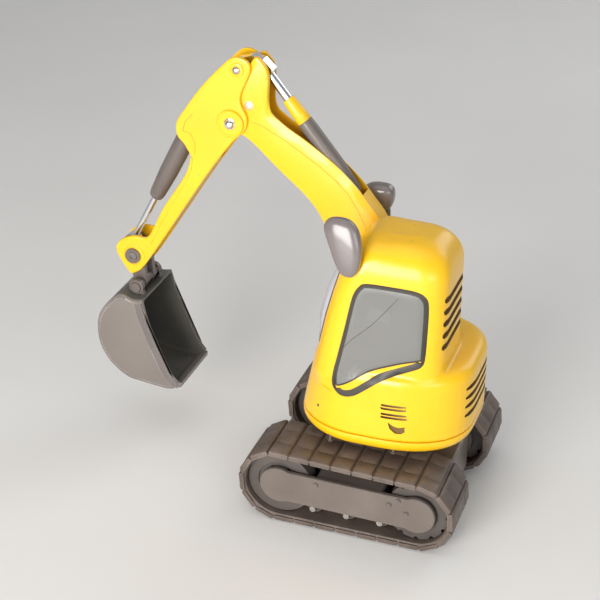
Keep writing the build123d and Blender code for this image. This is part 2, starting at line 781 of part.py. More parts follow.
def make_body_shell():
    """Upper body and cab in one moulding, with the boom's well, windows and vents."""
    deck = house_block(seam_z, deck_z, 0.0)
    deck_hollow = house_block(seam_z - 0.5, deck_z - shell_wall, shell_wall)
    cab = cab_block(0.0)
    cab_hollow = cab_block(shell_wall)
    side_opening = window_prism(0.0)
    front_opening = windshield_prism(0.0)
    well_middle = (well_right_x + well_left_x) / 2
    with BuildPart() as hollow:
        add(deck_hollow)
        add(cab_hollow)
        with BuildSketch(Plane.XY.offset(well_floor_z - shell_wall)):
            with Locations((well_middle, well_rear_y + shell_wall)):
                Rectangle(well_left_x - well_right_x + 2 * shell_wall, 120.0,
                          align=(Align.CENTER, Align.MAX))
        extrude(amount=140, mode=Mode.SUBTRACT)
        with BuildSketch(Plane.XY.offset(seam_z - 1)):
            with Locations(*tray_screw_points()):
                Circle(2.8)
        extrude(amount=14.0, mode=Mode.SUBTRACT)
    with BuildPart() as body_shell:
        add(deck)
        rim = body_shell.faces().sort_by(Axis.Z)[-1].edges()
        fillet(rim, 5.0)
        add(cab)
        with BuildSketch(Plane.XY.offset(seam_z - 5)):
            Rectangle(300, 300)
        extrude(amount=5, mode=Mode.SUBTRACT)
        add(hollow.part, mode=Mode.SUBTRACT)
        with BuildSketch(Plane.XY.offset(well_floor_z)):
            with Locations((well_middle, well_rear_y)):
                Rectangle(well_left_x - well_right_x, 120.0, align=(Align.CENTER, Align.MAX))
        extrude(amount=60, mode=Mode.SUBTRACT)
        add(side_opening, mode=Mode.SUBTRACT)
        add(front_opening, mode=Mode.SUBTRACT)
        with BuildSketch(Plane.YZ.offset(-60)):
            with Locations((27.7, 93.0), (28.0, 87.4)):
                SlotOverall(22.4, 2.4)
        extrude(amount=120, mode=Mode.SUBTRACT)
        with BuildSketch(Plane.XZ.offset(-75)):
            for row in range(5):
                with Locations((14.0, 129.8 + 7.8 * row)):
                    SlotOverall(44.0, 3.6)
        extrude(amount=31, mode=Mode.SUBTRACT)
        with BuildSketch(Plane.XZ.offset(-75)):
            for row in range(4):
                with Locations((12.0, 81.0 + 6.2 * row)):
                    SlotOverall(36.0, 2.8)
        extrude(amount=22, mode=Mode.SUBTRACT)
        with BuildSketch(Plane.XY.offset(seam_z)):
            with Locations(*tray_screw_points()):
                Circle(0.9)
        extrude(amount=9.0, mode=Mode.SUBTRACT)
    body_shell.part.label = "body_shell"
    export_step(body_shell.part, "parts/body_shell.step")


def make_glazing():
    """Opaque window panes set in rubber seals, flush with the cab."""
    pane_outside = cab_block(0.3)
    pane_inside = cab_block(1.6)
    seal_inside = cab_block(1.9)
    outside = cab_block(0.0)
    seal_width = 1.6
    sides = window_prism(seal_width + 0.05)
    front = windshield_prism(seal_width + 0.05)
    with BuildPart() as side_windows:
        add(pane_outside)
        add(pane_inside, mode=Mode.SUBTRACT)
        add(sides, mode=Mode.INTERSECT)
    side_windows.part.label = "side_windows"
    export_step(side_windows.part, "parts/side_windows.step")
    with BuildPart() as windshield:
        add(pane_outside)
        add(pane_inside, mode=Mode.SUBTRACT)
        add(front, mode=Mode.INTERSECT)
    windshield.part.label = "windshield"
    export_step(windshield.part, "parts/windshield.step")

    openings = window_prism(0.05)
    openings_inner = window_prism(seal_width)
    front_opening = windshield_prism(0.05)
    front_inner = windshield_prism(seal_width)
    with BuildPart() as seal_outline:
        add(openings)
        add(openings_inner, mode=Mode.SUBTRACT)
        add(front_opening)
        add(front_inner, mode=Mode.SUBTRACT)
    with BuildPart() as window_seals:
        add(outside)
        add(seal_inside, mode=Mode.SUBTRACT)
        add(seal_outline.part, mode=Mode.INTERSECT)
    window_seals.part.label = "window_seals"
    export_step(window_seals.part, "parts/window_seals.step")


# (height, half width) up each mirror head
left_pod_sections = ((-18.5, 1.6), (-14.0, 4.6), (-6.0, 8.6), (2.0, 10.8), (9.0, 10.6),
                     (15.0, 8.0), (18.0, 3.6))
right_pod_sections = ((-10.2, 3.4), (-7.5, 8.0), (-3.0, 11.2), (2.0, 12.0), (6.0, 10.6),
                      (8.8, 7.0), (10.2, 3.0))


def mirror_pod(sections, centre, tilt):
    """Egg-shaped mirror head, thin across the machine."""
    with BuildPart() as pod:
        for height, half_width in sections:
            with BuildSketch(Plane.XY.offset(height)):
                Ellipse(0.6 * half_width, half_width)
        loft()
    return Pos(*centre) * Rot(0, tilt, 0) * pod.part


def make_mirrors():
    """Two mirror heads: one on the cab's front corner, one on a post from the right deck."""
    cab = cab_block(-0.25)
    left_pod = mirror_pod(left_pod_sections, (43.5, -11.5, 192.0), -12)
    with BuildPart() as left_mirror:
        add(left_pod)
        with BuildSketch(Plane(origin=(36.0, -6.0, 182.0), z_dir=(0.5, -0.6, 0.5))):
            Circle(2.4)
        extrude(amount=10.0)
        add(cab, mode=Mode.SUBTRACT)
    left_mirror.part.label = "left_mirror"
    export_step(left_mirror.part, "parts/left_mirror.step")

    right_pod = mirror_pod(right_pod_sections, (-41.0, -15.0, 187.0), 6)
    with BuildPart() as right_mirror:
        add(right_pod)
        with BuildSketch(Plane.XY.offset(deck_z + 1.5)):
            with Locations((-42.3, -6.0)):
                Circle(1.8)
        extrude(amount=70.0)
        with BuildSketch(Plane.XY.offset(deck_z + 0.05)):
            with Locations((-42.3, -6.0)):
                Circle(3.0)
        extrude(amount=2.5)
    right_mirror.part.label = "right_mirror"
    export_step(right_mirror.part, "parts/right_mirror.step")


def make_house_internals():
    """Swing motor and its pinion, the circuit board and the tray's screws."""
    with BuildPart() as swing_motor:
        with BuildSketch(Plane.XY.offset(house_bottom_z + 2.55)):
            with Locations((0, slew_centres)):
                RectangleRounded(*swing_motor_size, 3.0)
        extrude(amount=9.0)
        with BuildSketch(Plane.XY.offset(house_bottom_z + 11.5)):
            with Locations((0, slew_centres)):
                Circle(6.0)
        extrude(amount=11.0)
    swing_motor.part.label = "swing_motor"
    export_step(swing_motor.part, "parts/swing_motor.step")

    with BuildPart() as swing_pinion:
        with BuildSketch(Plane(origin=(0, slew_centres, slew_gear_z + 0.3), x_dir=(0, 1, 0),
                               z_dir=(0, 0, 1))):
            add(gear_face(slew_module, swing_pinion_teeth, 180.0 / swing_pinion_teeth))
        extrude(amount=slew_gear_height - 0.6)
        with BuildSketch(Plane.XY.offset(slew_gear_z + 1.0)):
            with Locations((0, slew_centres)):
                Circle(1.1)
        extrude(amount=house_bottom_z + 2.4 - slew_gear_z - 1.0)
    swing_pinion.part.label = "swing_pinion"
    export_step(swing_pinion.part, "parts/swing_pinion.step")

    board_x = 25.0
    board_y = -6.0
    board_z = 78.0
    with BuildPart() as control_board:
        with BuildSketch(Plane.XY.offset(board_z)):
            with Locations((board_x, board_y)):
                Rectangle(36.0, 40.0)
        extrude(amount=1.6)
        with BuildSketch(Plane.XY.offset(board_z + 1.5)):
            with Locations((board_x - 10.0, board_y - 8.0), (board_x + 6.0, board_y - 8.0),
                           (board_x - 10.0, board_y + 10.0)):
                Rectangle(9.0, 9.0)
        extrude(amount=3.0)
        with BuildSketch(Plane.XY.offset(board_z + 1.5)):
            with Locations((board_x + 8.0, board_y + 7.0), (board_x + 8.0, board_y + 14.0)):
                Circle(2.5)
        extrude(amount=8.0)
        with BuildSketch(Plane.XY.offset(house_bottom_z + 2.55)):
            with Locations((board_x, board_y)):
                with GridLocations(28.0, 32.0, 2, 2):
                    Circle(1.6)
        extrude(amount=board_z - house_bottom_z - 2.0)
    control_board.part.label = "control_board"
    export_step(control_board.part, "parts/control_board.step")

    with BuildPart() as house_screws:
        for x, y in tray_screw_points():
            with BuildSketch(Plane.XY.offset(house_bottom_z - 0.05)):
                with Locations((x, y)):
                    Circle(0.85)
            extrude(amount=22.0)
            with BuildSketch(Plane.XY.offset(house_bottom_z - 0.05)):
                with Locations((x, y)):
                    Circle(1.9)
            extrude(amount=-1.1, taper=20)
    house_screws.part.label = "house_screws"
    export_step(house_screws.part, "parts/house_screws.step")


# ================================================================ boom
boom_outline = ((-94, 226), (-72, 207), (-52.3, 189.8), (-41.6, 173.3), (-33, 148), (-2, 104),
                (15, 108), (15, 126), (9, 148), (-3, 178), (-12.5, 192), (-28.5, 209.8),
                (-49.4, 225.7), (-69.6, 238), (-78.3, 247), (-78.3, 268), (-82, 276),
                (-88, 278.4), (-97, 262), (-111, 240))


def boom_profile(inset):
    """Side profile of the boom with the hubs at its two hinges."""
    with BuildSketch() as profile:
        with BuildLine():
            Polyline(*boom_outline, close=True)
        make_face()
        with Locations(boom_foot):
            Circle(9.0)
        with Locations(stick_hinge):
            Circle(9.8)
        if inset > 0:
            offset(amount=-inset)
    return profile.sketch


arm_axis = unit(arm_cylinder_foot, along(arm_cylinder_foot, (-0.632, 0.775), 1.0))
bucket_axis = unit(bucket_cylinder_foot, bucket_tail_pin)


def boom_cover():
    """Flat lips on the boom's back beside the slot for the arm cylinder."""
    reach = ((0.0, 7.5), (55.0, 10.5), (92.0, 13.0))
    with BuildPart() as slot:
        for start, end in zip(reach, reach[1:]):
            with BuildSketch(arm_plane()):
                for distance, radius in (start, end):
                    with Locations(along(arm_cylinder_foot, arm_axis, distance)):
                        Circle(radius)
                make_hull()
            extrude(amount=slot_half)
        with BuildSketch(arm_plane()):
            with Locations((-88.0, 262.0), (-99.0, 256.0)):
                Circle(20.0)
            make_hull()
        extrude(amount=slot_half)
    return slot.part


def make_boom():
    """Boom of two half shells, bored for its foot pin, stick pin and cylinder pin."""
    outside = boom_profile(0.0)
    inside = boom_profile(boom_wall)
    slot = boom_cover()
    with BuildPart() as boom_left_half:
        with BuildSketch(arm_plane(0.03)):
            add(outside)
        extrude(amount=boom_half - 0.03)
        chamfer(boom_left_half.faces().sort_by(Axis.X)[-1].outer_wire().edges(), 0.5)
        with BuildSketch(arm_plane()):
            add(inside)
        extrude(amount=boom_half - boom_wall, mode=Mode.SUBTRACT)
        add(slot, mode=Mode.SUBTRACT)
        with BuildSketch(arm_plane()):
            with Locations(boom_foot, stick_hinge):
                Circle(hinge_pin_radius + running)
            with Locations(arm_cylinder_foot):
                Circle(2.0 + fitted)
        extrude(amount=boom_half, mode=Mode.SUBTRACT)
    boom_left_half.part.label = "boom_left_half"
    export_step(boom_left_half.part, "parts/boom_left_half.step")
    with BuildPart() as boom_right_half:
        mirror(boom_left_half.part, about=arm_plane())
    boom_right_half.part.label = "boom_right_half"
    export_step(boom_right_half.part, "parts/boom_right_half.step")


def make_boom_fittings():
    """Foot bracket and pin, the geared motor in the boom's foot, cylinder pin and screws."""
    ear_gap = 0.3
    with BuildPart() as boom_bracket:
        with BuildSketch(Plane.XY.offset(well_floor_z + 0.02)):
            with Locations((arm_x, 4.0)):
                Rectangle(2 * (boom_half + ear_gap + 2.2), 30.0)
        extrude(amount=2.5)
        with BuildSketch(arm_plane(-(boom_half + ear_gap + 2.2))):
            with Locations((boom_foot[0], boom_foot[1])):
                Circle(7.0)
            with Locations((boom_foot[0] - 8.0, well_floor_z + 2.0),
                           (boom_foot[0] + 8.0, well_floor_z + 2.0)):
                Circle(1.9)
            make_hull()
        extrude(amount=2 * (boom_half + ear_gap + 2.2))
        with BuildSketch(arm_plane()):
            with Locations((boom_foot[0], boom_foot[1] + 20.0)):
                Rectangle(60.0, 70.9)
        extrude(amount=boom_half + ear_gap, both=True, mode=Mode.SUBTRACT)
        with BuildSketch(arm_plane()):
            with Locations(boom_foot):
                Circle(hinge_pin_radius + fitted)
        extrude(amount=20.0, both=True, mode=Mode.SUBTRACT)
    boom_bracket.part.label = "boom_bracket"
    export_step(boom_bracket.part, "parts/boom_bracket.step")

    with BuildPart() as boom_foot_pin:
        with BuildSketch(arm_plane()):
            with Locations(boom_foot):
                Circle(hinge_pin_radius)
        extrude(amount=boom_half + 2.4, both=True)
    boom_foot_pin.part.label = "boom_foot_pin"
    export_step(boom_foot_pin.part, "parts/boom_foot_pin.step")

    with BuildPart() as boom_motor:
        with BuildSketch(arm_plane()):
            with Locations(boom_foot):
                Circle(5.4)
            with Locations((-9.0, 133.0)):
                Circle(7.0)
            make_hull()
        extrude(amount=boom_half - boom_wall - 0.2, both=True)
        with BuildSketch(axis_plane((-9.0, 133.0), unit((6.0, 106.0), (-9.0, 133.0)), 0.0)):
            Circle(5.6)
        extrude(amount=26.0)
        with BuildSketch(arm_plane()):
            with Locations(boom_foot):
                Circle(hinge_pin_radius + running)
        extrude(amount=boom_half, both=True, mode=Mode.SUBTRACT)
    boom_motor.part.label = "boom_motor"
    export_step(boom_motor.part, "parts/boom_motor.step")

    with BuildPart() as arm_cylinder_pin:
        with BuildSketch(arm_plane()):
            with Locations(arm_cylinder_foot):
                Circle(2.0)
        extrude(amount=boom_half - 0.1, both=True)
    arm_cylinder_pin.part.label = "arm_cylinder_pin"
    export_step(arm_cylinder_pin.part, "parts/arm_cylinder_pin.step")


def make_arm_cylinder():
    """Arm actuator: barrel on the boom, sleeve, lead screw, and rod with its curved link."""
    barrel_end = 52.0
    sleeve_end = 69.0
    bore_start = 34.0
    rod_end = 88.0
    lead_screw_length = 27.0
    base = axis_plane(arm_cylinder_foot, arm_axis, 0.0)
    with BuildPart() as arm_barrel:
        with BuildSketch(base.offset(3.0)):
            Circle(4.2)
        with BuildSketch(base.offset(18.0)):
            Circle(4.9)
        loft()
        with BuildSketch(base.offset(18.0)):
            Circle(4.9)
        extrude(amount=barrel_end - 18.0)
        with BuildSketch(arm_plane()):
            with Locations(arm_cylinder_foot):
                Circle(4.8)
        extrude(amount=4.2, both=True)
        with BuildSketch(arm_plane()):
            with Locations(arm_cylinder_foot):
                Circle(2.0 + running)
        extrude(amount=6.0, both=True, mode=Mode.SUBTRACT)
        with BuildSketch(base.offset(bore_start)):
            Circle(arm_rod_radius + running)
        extrude(amount=barrel_end - bore_start, mode=Mode.SUBTRACT)
    arm_barrel.part.label = "arm_barrel"
    export_step(arm_barrel.part, "parts/arm_barrel.step")

    with BuildPart() as arm_sleeve:
        with BuildSketch(base.offset(barrel_end + 0.02)):
            Circle(4.6)
        extrude(amount=sleeve_end - barrel_end, taper=3)
        with BuildSketch(base.offset(barrel_end)):
            Circle(arm_rod_radius + running)
        extrude(amount=sleeve_end - barrel_end + 1, mode=Mode.SUBTRACT)
    arm_sleeve.part.label = "arm_sleeve"
    export_step(arm_sleeve.part, "parts/arm_sleeve.step")

    with BuildPart() as arm_lead_screw:
        with BuildSketch(base.offset(bore_start + 0.02)):
            Circle(0.9)
        extrude(amount=lead_screw_length)
    arm_lead_screw.part.label = "arm_lead_screw"
    export_step(arm_lead_screw.part, "parts/arm_lead_screw.step")

    with BuildPart() as arm_rod:
        with BuildSketch(base.offset(bore_start + 14.0)):
            Circle(arm_rod_radius)
            Circle(1.2, mode=Mode.SUBTRACT)
        extrude(amount=28.0)
        with BuildSketch(base.offset(bore_start + 14.0 + 28.0)):
            Circle(arm_rod_radius)
        extrude(amount=rod_end - bore_start - 42.0)
        with BuildSketch(arm_plane()):
            with BuildLine():
                Polyline((-98, 275.8), (-90.5, 278.4), (-83.5, 276.6), (-77.2, 270.5),
                         (-79.0, 265.6), (-82.6, 267.8), (-86.2, 272.3), (-91.0, 274.0),
                         (-98, 270.5), close=True)
            make_face()
            with Locations(stick_top_pin):
                Circle(5.2)
        extrude(amount=rod_eye_half, both=True)
        with BuildSketch(arm_plane()):
            with Locations(stick_top_pin):
                Circle(3.1)
        extrude(amount=rod_eye_half, both=True, mode=Mode.SUBTRACT)
    arm_rod.part.label = "arm_rod"
    export_step(arm_rod.part, "parts/arm_rod.step")


# ================================================================ stick
stick_outline = ((-99.6, 278.4), (-107, 273), (-122.1, 256.5), (-133.9, 240.2), (-140.3, 229),
                 (-139.3, 220.6), (-130.5, 209.4), (-135, 195.7), (-151.3, 170.2),
                 (-164.4, 144.5), (-178.5, 144.5), (-187.5, 136), (-185.2, 127.2),
                 (-177, 116.5), (-166.9, 125.5), (-147.4, 155.2), (-119.9, 197.9),
                 (-103, 221.5), (-91.6, 236), (-95, 256), (-88.6, 271), (-92, 279))
stick_box = ((-131.6, 206.5), (-135, 195.7), (-151.3, 170.2), (-161.5, 150), (-151, 150),
             (-147.4, 155.2), (-119.9, 197.9), (-114, 206.5))


def make_stick():
    """Stick of two half shells: side plates all along, joined by a box below the head."""
    with BuildPart() as stick_left_half:
        with BuildSketch(arm_plane(ear_inner)):
            with BuildLine():
                Polyline(*stick_outline, close=True)
            make_face()
        extrude(amount=ear_outer - ear_inner)
        chamfer(stick_left_half.faces().sort_by(Axis.X)[-1].outer_wire().edges(), 0.6)
        with BuildSketch(arm_plane(0.03)):
            with BuildLine():
                Polyline(*stick_box, close=True)
            make_face()
            offset(amount=-1.8, mode=Mode.SUBTRACT)
        extrude(amount=ear_inner)
        with BuildSketch(arm_plane(ear_outer)):
            with Locations(stick_hinge):
                Circle(8.4)
        extrude(amount=1.4, taper=15)
        with BuildSketch(arm_plane(ear_outer)):
            with Locations(stick_top_pin):
                Circle(4.1)
        extrude(amount=0.9, taper=15)
        with BuildSketch(arm_plane(ear_inner)):
            with Locations(stick_hinge, bucket_hinge):
                Circle(hinge_pin_radius + fitted)
            with Locations(stick_top_pin):
                Circle(1.5 + fitted)
            with Locations(bucket_cylinder_foot):
                Circle(2.0 + fitted)
        extrude(amount=5.0, mode=Mode.SUBTRACT)
    stick_left_half.part.label = "stick_left_half"
    export_step(stick_left_half.part, "parts/stick_left_half.step")
    with BuildPart() as stick_right_half:
        mirror(stick_left_half.part, about=arm_plane())
    stick_right_half.part.label = "stick_right_half"
    export_step(stick_right_half.part, "parts/stick_right_half.step")


def make_stick_pins():
    """Stick hinge pin with the bucket cylinder's pin, and the bolts at the stick's two ends."""
    with BuildPart() as stick_pins:
        with BuildSketch(arm_plane()):
            with Locations(stick_hinge):
                Circle(hinge_pin_radius)
        extrude(amount=ear_outer + 1.4, both=True)
        for side in (1, -1):
            with BuildSketch(arm_plane(side * (ear_outer + 1.42))):
                with Locations(stick_hinge):
                    Circle(4.2)
            extrude(amount=side * 0.9, taper=25)
            with BuildSketch(arm_plane(side * (ear_outer + 1.0))):
                with Locations(stick_hinge):
                    Circle(2.6)
            extrude(amount=side * 2.2, taper=20)
        with BuildSketch(arm_plane()):
            with Locations(bucket_cylinder_foot):
                Circle(2.0)
        extrude(amount=ear_outer, both=True)
    stick_pins.part.label = "stick_pins"
    export_step(stick_pins.part, "parts/stick_pins.step")

    with BuildPart() as left_bolts:
        with BuildSketch(arm_plane(ear_inner)):
            with Locations(stick_top_pin):
                Circle(1.5)
        extrude(amount=ear_outer - ear_inner + 1.6)
        with BuildSketch(arm_plane(ear_outer + 0.92)):
            with Locations(stick_top_pin):
                Circle(2.4)
        extrude(amount=0.9, taper=25)
        with BuildSketch(arm_plane(rod_eye_half + 0.7)):
            with Locations(bucket_hinge):
                Circle(hinge_pin_radius)
        extrude(amount=ear_outer - rod_eye_half - 0.2)
        with BuildSketch(arm_plane(ear_outer + 0.05)):
            with Locations(bucket_hinge):
                Circle(5.4)
        extrude(amount=1.5)
        with BuildSketch(arm_plane(ear_outer + 1.0)):
            with Locations(bucket_hinge):
                Circle(3.2)
        extrude(amount=1.3)
    with BuildPart() as stick_bolts:
        add(left_bolts.part)
        mirror(left_bolts.part, about=arm_plane())
    stick_bolts.part.label = "stick_bolts"
    export_step(stick_bolts.part, "parts/stick_bolts.step")


def make_bucket_cylinder():
    """Bucket actuator: tapered barrel on the stick, lead screw and rod with a wide eye."""
    barrel_end = 57.0
    bore_start = 30.0
    rod_length = math.dist(bucket_cylinder_foot, bucket_tail_pin)
    base = axis_plane(bucket_cylinder_foot, bucket_axis, 0.0)
    with BuildPart() as bucket_barrel:
        with BuildSketch(arm_plane()):
            with Locations(bucket_cylinder_foot):
                Circle(6.4)
        extrude(amount=5.5, both=True)
        with BuildSketch(base.offset(3.0)):
            Circle(6.3)
        extrude(amount=barrel_end - 3.0, taper=2.2)
        with BuildSketch(arm_plane()):
            with Locations(bucket_cylinder_foot):
                Circle(2.0 + running)
        extrude(amount=8.0, both=True, mode=Mode.SUBTRACT)
        with BuildSketch(base.offset(bore_start)):
            Circle(bucket_rod_radius + running)
        extrude(amount=barrel_end - bore_start, mode=Mode.SUBTRACT)
    bucket_barrel.part.label = "bucket_barrel"
    export_step(bucket_barrel.part, "parts/bucket_barrel.step")

    with BuildPart() as bucket_lead_screw:
        with BuildSketch(base.offset(bore_start + 0.02)):
            Circle(0.8)
        extrude(amount=24.0)
    bucket_lead_screw.part.label = "bucket_lead_screw"
    export_step(bucket_lead_screw.part, "parts/bucket_lead_screw.step")

    with BuildPart() as bucket_rod:
        with BuildSketch(base.offset(bore_start + 8.0)):
            Circle(bucket_rod_radius)
            Circle(1.05, mode=Mode.SUBTRACT)
        extrude(amount=26.0)
        with BuildSketch(base.offset(bore_start + 34.0)):
            Circle(bucket_rod_radius)
        extrude(amount=rod_length - 4.5 - bore_start - 34.0)
        with BuildSketch(arm_plane()):
            with Locations(bucket_tail_pin):
                Circle(5.3)
        extrude(amount=rod_eye_half, both=True)
        with BuildSketch(arm_plane()):
            with Locations(bucket_tail_pin):
                Circle(3.8)
        extrude(amount=rod_eye_half + 1, both=True, mode=Mode.SUBTRACT)
    bucket_rod.part.label = "bucket_rod"
    export_step(bucket_rod.part, "parts/bucket_rod.step")


# ================================================================ bucket
bucket_outline = ((-171.2, 105.6), (-178.1, 108.2), (-183.8, 106.0), (-191.5, 97.8),
                  (-196.7, 89.4), (-198.5, 80.2), (-197.8, 69.0), (-194.1, 59.9),
                  (-187.5, 51.4), (-177, 44.3), (-166.3, 42.4), (-155.6, 41.2),
                  (-145.0, 41.0), (-139, 46.5))
bucket_front = ((-139, 46.5), (-145.0, 53.0), (-154, 74), (-160.1, 90.5), (-163.6, 106.5))


def make_bucket():
    """Open bucket: curved back, two side walls, thickened mouth edge and hinge ears."""
    with BuildPart() as bucket:
        with BuildSketch(arm_plane()):
            with BuildLine():
                Polyline(*bucket_outline)
                Polyline(*bucket_front)
                Line(bucket_front[-1], bucket_outline[0])
            make_face()
        extrude(amount=bucket_half, both=True)
        with BuildSketch(arm_plane()):
            with BuildLine():
                Polyline((-172.0, 103.2), (-178.0, 105.8), (-182.6, 103.8), (-189.6, 96.4),
                         (-194.4, 88.6), (-196.2, 80.2), (-195.5, 69.6), (-192.1, 61.2),
                         (-186.0, 53.4), (-176.3, 46.6), (-166.0, 44.7), (-155.4, 43.5),
                         (-136.0, 43.0), (-125, 60), (-140, 112), (-163.0, 103.2), close=True)
            make_face()
        extrude(amount=bucket_half - bucket_wall, both=True, mode=Mode.SUBTRACT)
        for side in (1, -1):
            with BuildSketch(arm_plane(side * 12.2)):
                with Locations(bucket_ear_pin):
                    Circle(5.0)
                with Locations((-177.0, 103.0), (-167.5, 102.5)):
                    Circle(2.2)
                make_hull()
            extrude(amount=side * 2.8)
        with BuildSketch(arm_plane()):
            with Locations(bucket_ear_pin):
                Circle(4.6)
        extrude(amount=12.15, both=True, mode=Mode.SUBTRACT)
        with BuildSketch(arm_plane()):
            with Locations(bucket_ear_pin):
                Circle(2.0 + fitted)
        extrude(amount=16.0, both=True, mode=Mode.SUBTRACT)
    bucket.part.label = "bucket"
    export_step(bucket.part, "parts/bucket.step")

    cheek_inner = rod_eye_half + 0.6
    with BuildPart() as left_cheek:
        for end, radius in ((bucket_ear_pin, 4.3), (bucket_tail_pin, 4.0)):
            with BuildSketch(arm_plane(cheek_inner)):
                with Locations(bucket_hinge):
                    Circle(5.6)
                with Locations(end):
                    Circle(radius)
                make_hull()
            extrude(amount=3.6)
        with BuildSketch(arm_plane()):
            with Locations(bucket_ear_pin):
                Circle(3.8)
        extrude(amount=12.0)
        with BuildSketch(arm_plane()):
            with Locations(bucket_tail_pin):
                Circle(1.5)
        extrude(amount=cheek_inner + 1.0)
        with BuildSketch(arm_plane()):
            with Locations(bucket_ear_pin):
                Circle(2.0 + fitted)
        extrude(amount=13.0, mode=Mode.SUBTRACT)
        with BuildSketch(arm_plane(cheek_inner)):
            with Locations(bucket_hinge):
                Circle(hinge_pin_radius + running)
        extrude(amount=4.0, mode=Mode.SUBTRACT)
    with BuildPart() as bucket_hanger:
        add(left_cheek.part)
        mirror(left_cheek.part, about=arm_plane())
    bucket_hanger.part.label = "bucket_hanger"
    export_step(bucket_hanger.part, "parts/bucket_hanger.step")

    with BuildPart() as bucket_ear_bolt:
        with BuildSketch(arm_plane()):
            with Locations(bucket_ear_pin):
                Circle(2.0)
        extrude(amount=15.1, both=True)
        for side in (1, -1):
            with BuildSketch(arm_plane(side * 15.05)):
                with Locations(bucket_ear_pin):
                    Circle(3.6)
            extrude(amount=side * 1.2, taper=20)
    bucket_ear_bolt.part.label = "bucket_ear_bolt"
    export_step(bucket_ear_bolt.part, "parts/bucket_ear_bolt.step")


make_track_belts()
make_wheels()
make_rollers()
make_track_frames()
make_side_plates()
make_axles()
make_drive()
make_chassis()
make_chassis_bottom()
make_battery()
make_switch()
make_slewing()
make_screws()
make_house_tray()
make_body_shell()
make_glazing()
make_mirrors()
make_house_internals()
make_boom()
make_boom_fittings()
make_arm_cylinder()
make_stick()
make_stick_pins()
make_bucket_cylinder()
make_bucket()
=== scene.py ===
import json
import math
import random

import bmesh
import bpy
from mathutils import Matrix, Vector
from mathutils.bvhtree import BVHTree


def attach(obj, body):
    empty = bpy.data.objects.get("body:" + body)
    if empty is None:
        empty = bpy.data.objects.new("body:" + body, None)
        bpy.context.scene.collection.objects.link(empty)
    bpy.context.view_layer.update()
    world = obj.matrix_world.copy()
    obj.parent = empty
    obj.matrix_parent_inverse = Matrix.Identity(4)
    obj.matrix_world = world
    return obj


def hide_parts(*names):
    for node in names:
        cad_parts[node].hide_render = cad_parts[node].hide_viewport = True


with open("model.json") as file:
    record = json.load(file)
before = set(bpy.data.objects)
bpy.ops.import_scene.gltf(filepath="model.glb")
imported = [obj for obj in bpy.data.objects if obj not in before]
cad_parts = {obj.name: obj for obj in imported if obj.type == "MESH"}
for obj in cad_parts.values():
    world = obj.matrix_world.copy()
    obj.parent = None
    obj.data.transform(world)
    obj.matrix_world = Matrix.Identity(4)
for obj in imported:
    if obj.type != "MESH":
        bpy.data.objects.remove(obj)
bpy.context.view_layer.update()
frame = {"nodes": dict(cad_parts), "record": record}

# Millimetres, in the CAD frame, unless a name or comment says otherwise.
MM = 0.001
ARM_X = -22.0
# Wheel centres, then pins of the arm as (y, z).
FRONT_AXLE = Vector((0.0, -45.0, 26.5))
REAR_AXLE = Vector((0.0, 45.0, 25.0))
TRACK_X = 45.25
BELT_IN, BELT_OUT = 25.5, 65.0
BOOM_FOOT = (6.0, 106.0)
CYLINDER_SCREW = (-91.4, 247.5)
STICK_HINGE = (-102.8, 235.4)
STICK_TOP_PIN = (-98.0, 270.5)
BUCKET_HINGE = (-175.0, 131.5)
BUCKET_EAR = (-172.0, 110.5)
EDGE_RADIUS = 0.7 * MM
HOLLOW_REACH = 3.5 * MM
BUMP_DEPTH = 0.5 * MM
CUT_FACE_GAP = 0.03 * MM


# ---------------- materials
def node_of(tree, kind, **values):
    """Adds a shader node and sets its inputs or properties by name."""
    node = tree.nodes.new(kind)
    for key, value in values.items():
        if key in node.inputs:
            node.inputs[key].default_value = value
        else:
            setattr(node, key, value)
    return node


def ramp(tree, source, stops):
    """Colour ramp fed by a value; stops are (position, colour)."""
    node = tree.nodes.new("ShaderNodeValToRGB")
    elements = node.color_ramp.elements
    while len(elements) > len(stops):
        elements.remove(elements[-1])
    while len(elements) < len(stops):
        elements.new(0.5)
    for element, (position, colour) in zip(elements, stops):
        element.position = position
        element.color = (*colour, 1.0)
    tree.links.new(source, node.inputs["Fac"])
    return node.outputs["Color"]


def noise(tree, coords, scale, detail=4.0, rough=0.55, stretch=None):
    """Noise value over the object's own coordinates."""
    vector = coords
    if stretch:
        mapping = node_of(tree, "ShaderNodeMapping")
        mapping.inputs["Scale"].default_value = stretch
        tree.links.new(coords, mapping.inputs["Vector"])
        vector = mapping.outputs["Vector"]
    node = node_of(tree, "ShaderNodeTexNoise", Scale=scale, Detail=detail, Roughness=rough)
    tree.links.new(vector, node.inputs["Vector"])
    return node.outputs["Fac"]


def mix(tree, factor, first, second):
    """Blends two colours by a value or socket."""
    node = tree.nodes.new("ShaderNodeMix")
    node.data_type = "RGBA"
    for index, value in ((0, factor), (6, first), (7, second)):
        if hasattr(value, "is_output"):
            tree.links.new(value, node.inputs[index])
        elif index == 0:
            node.inputs[index].default_value = value
        else:
            node.inputs[index].default_value = (*value, 1.0)
    return node.outputs[2]


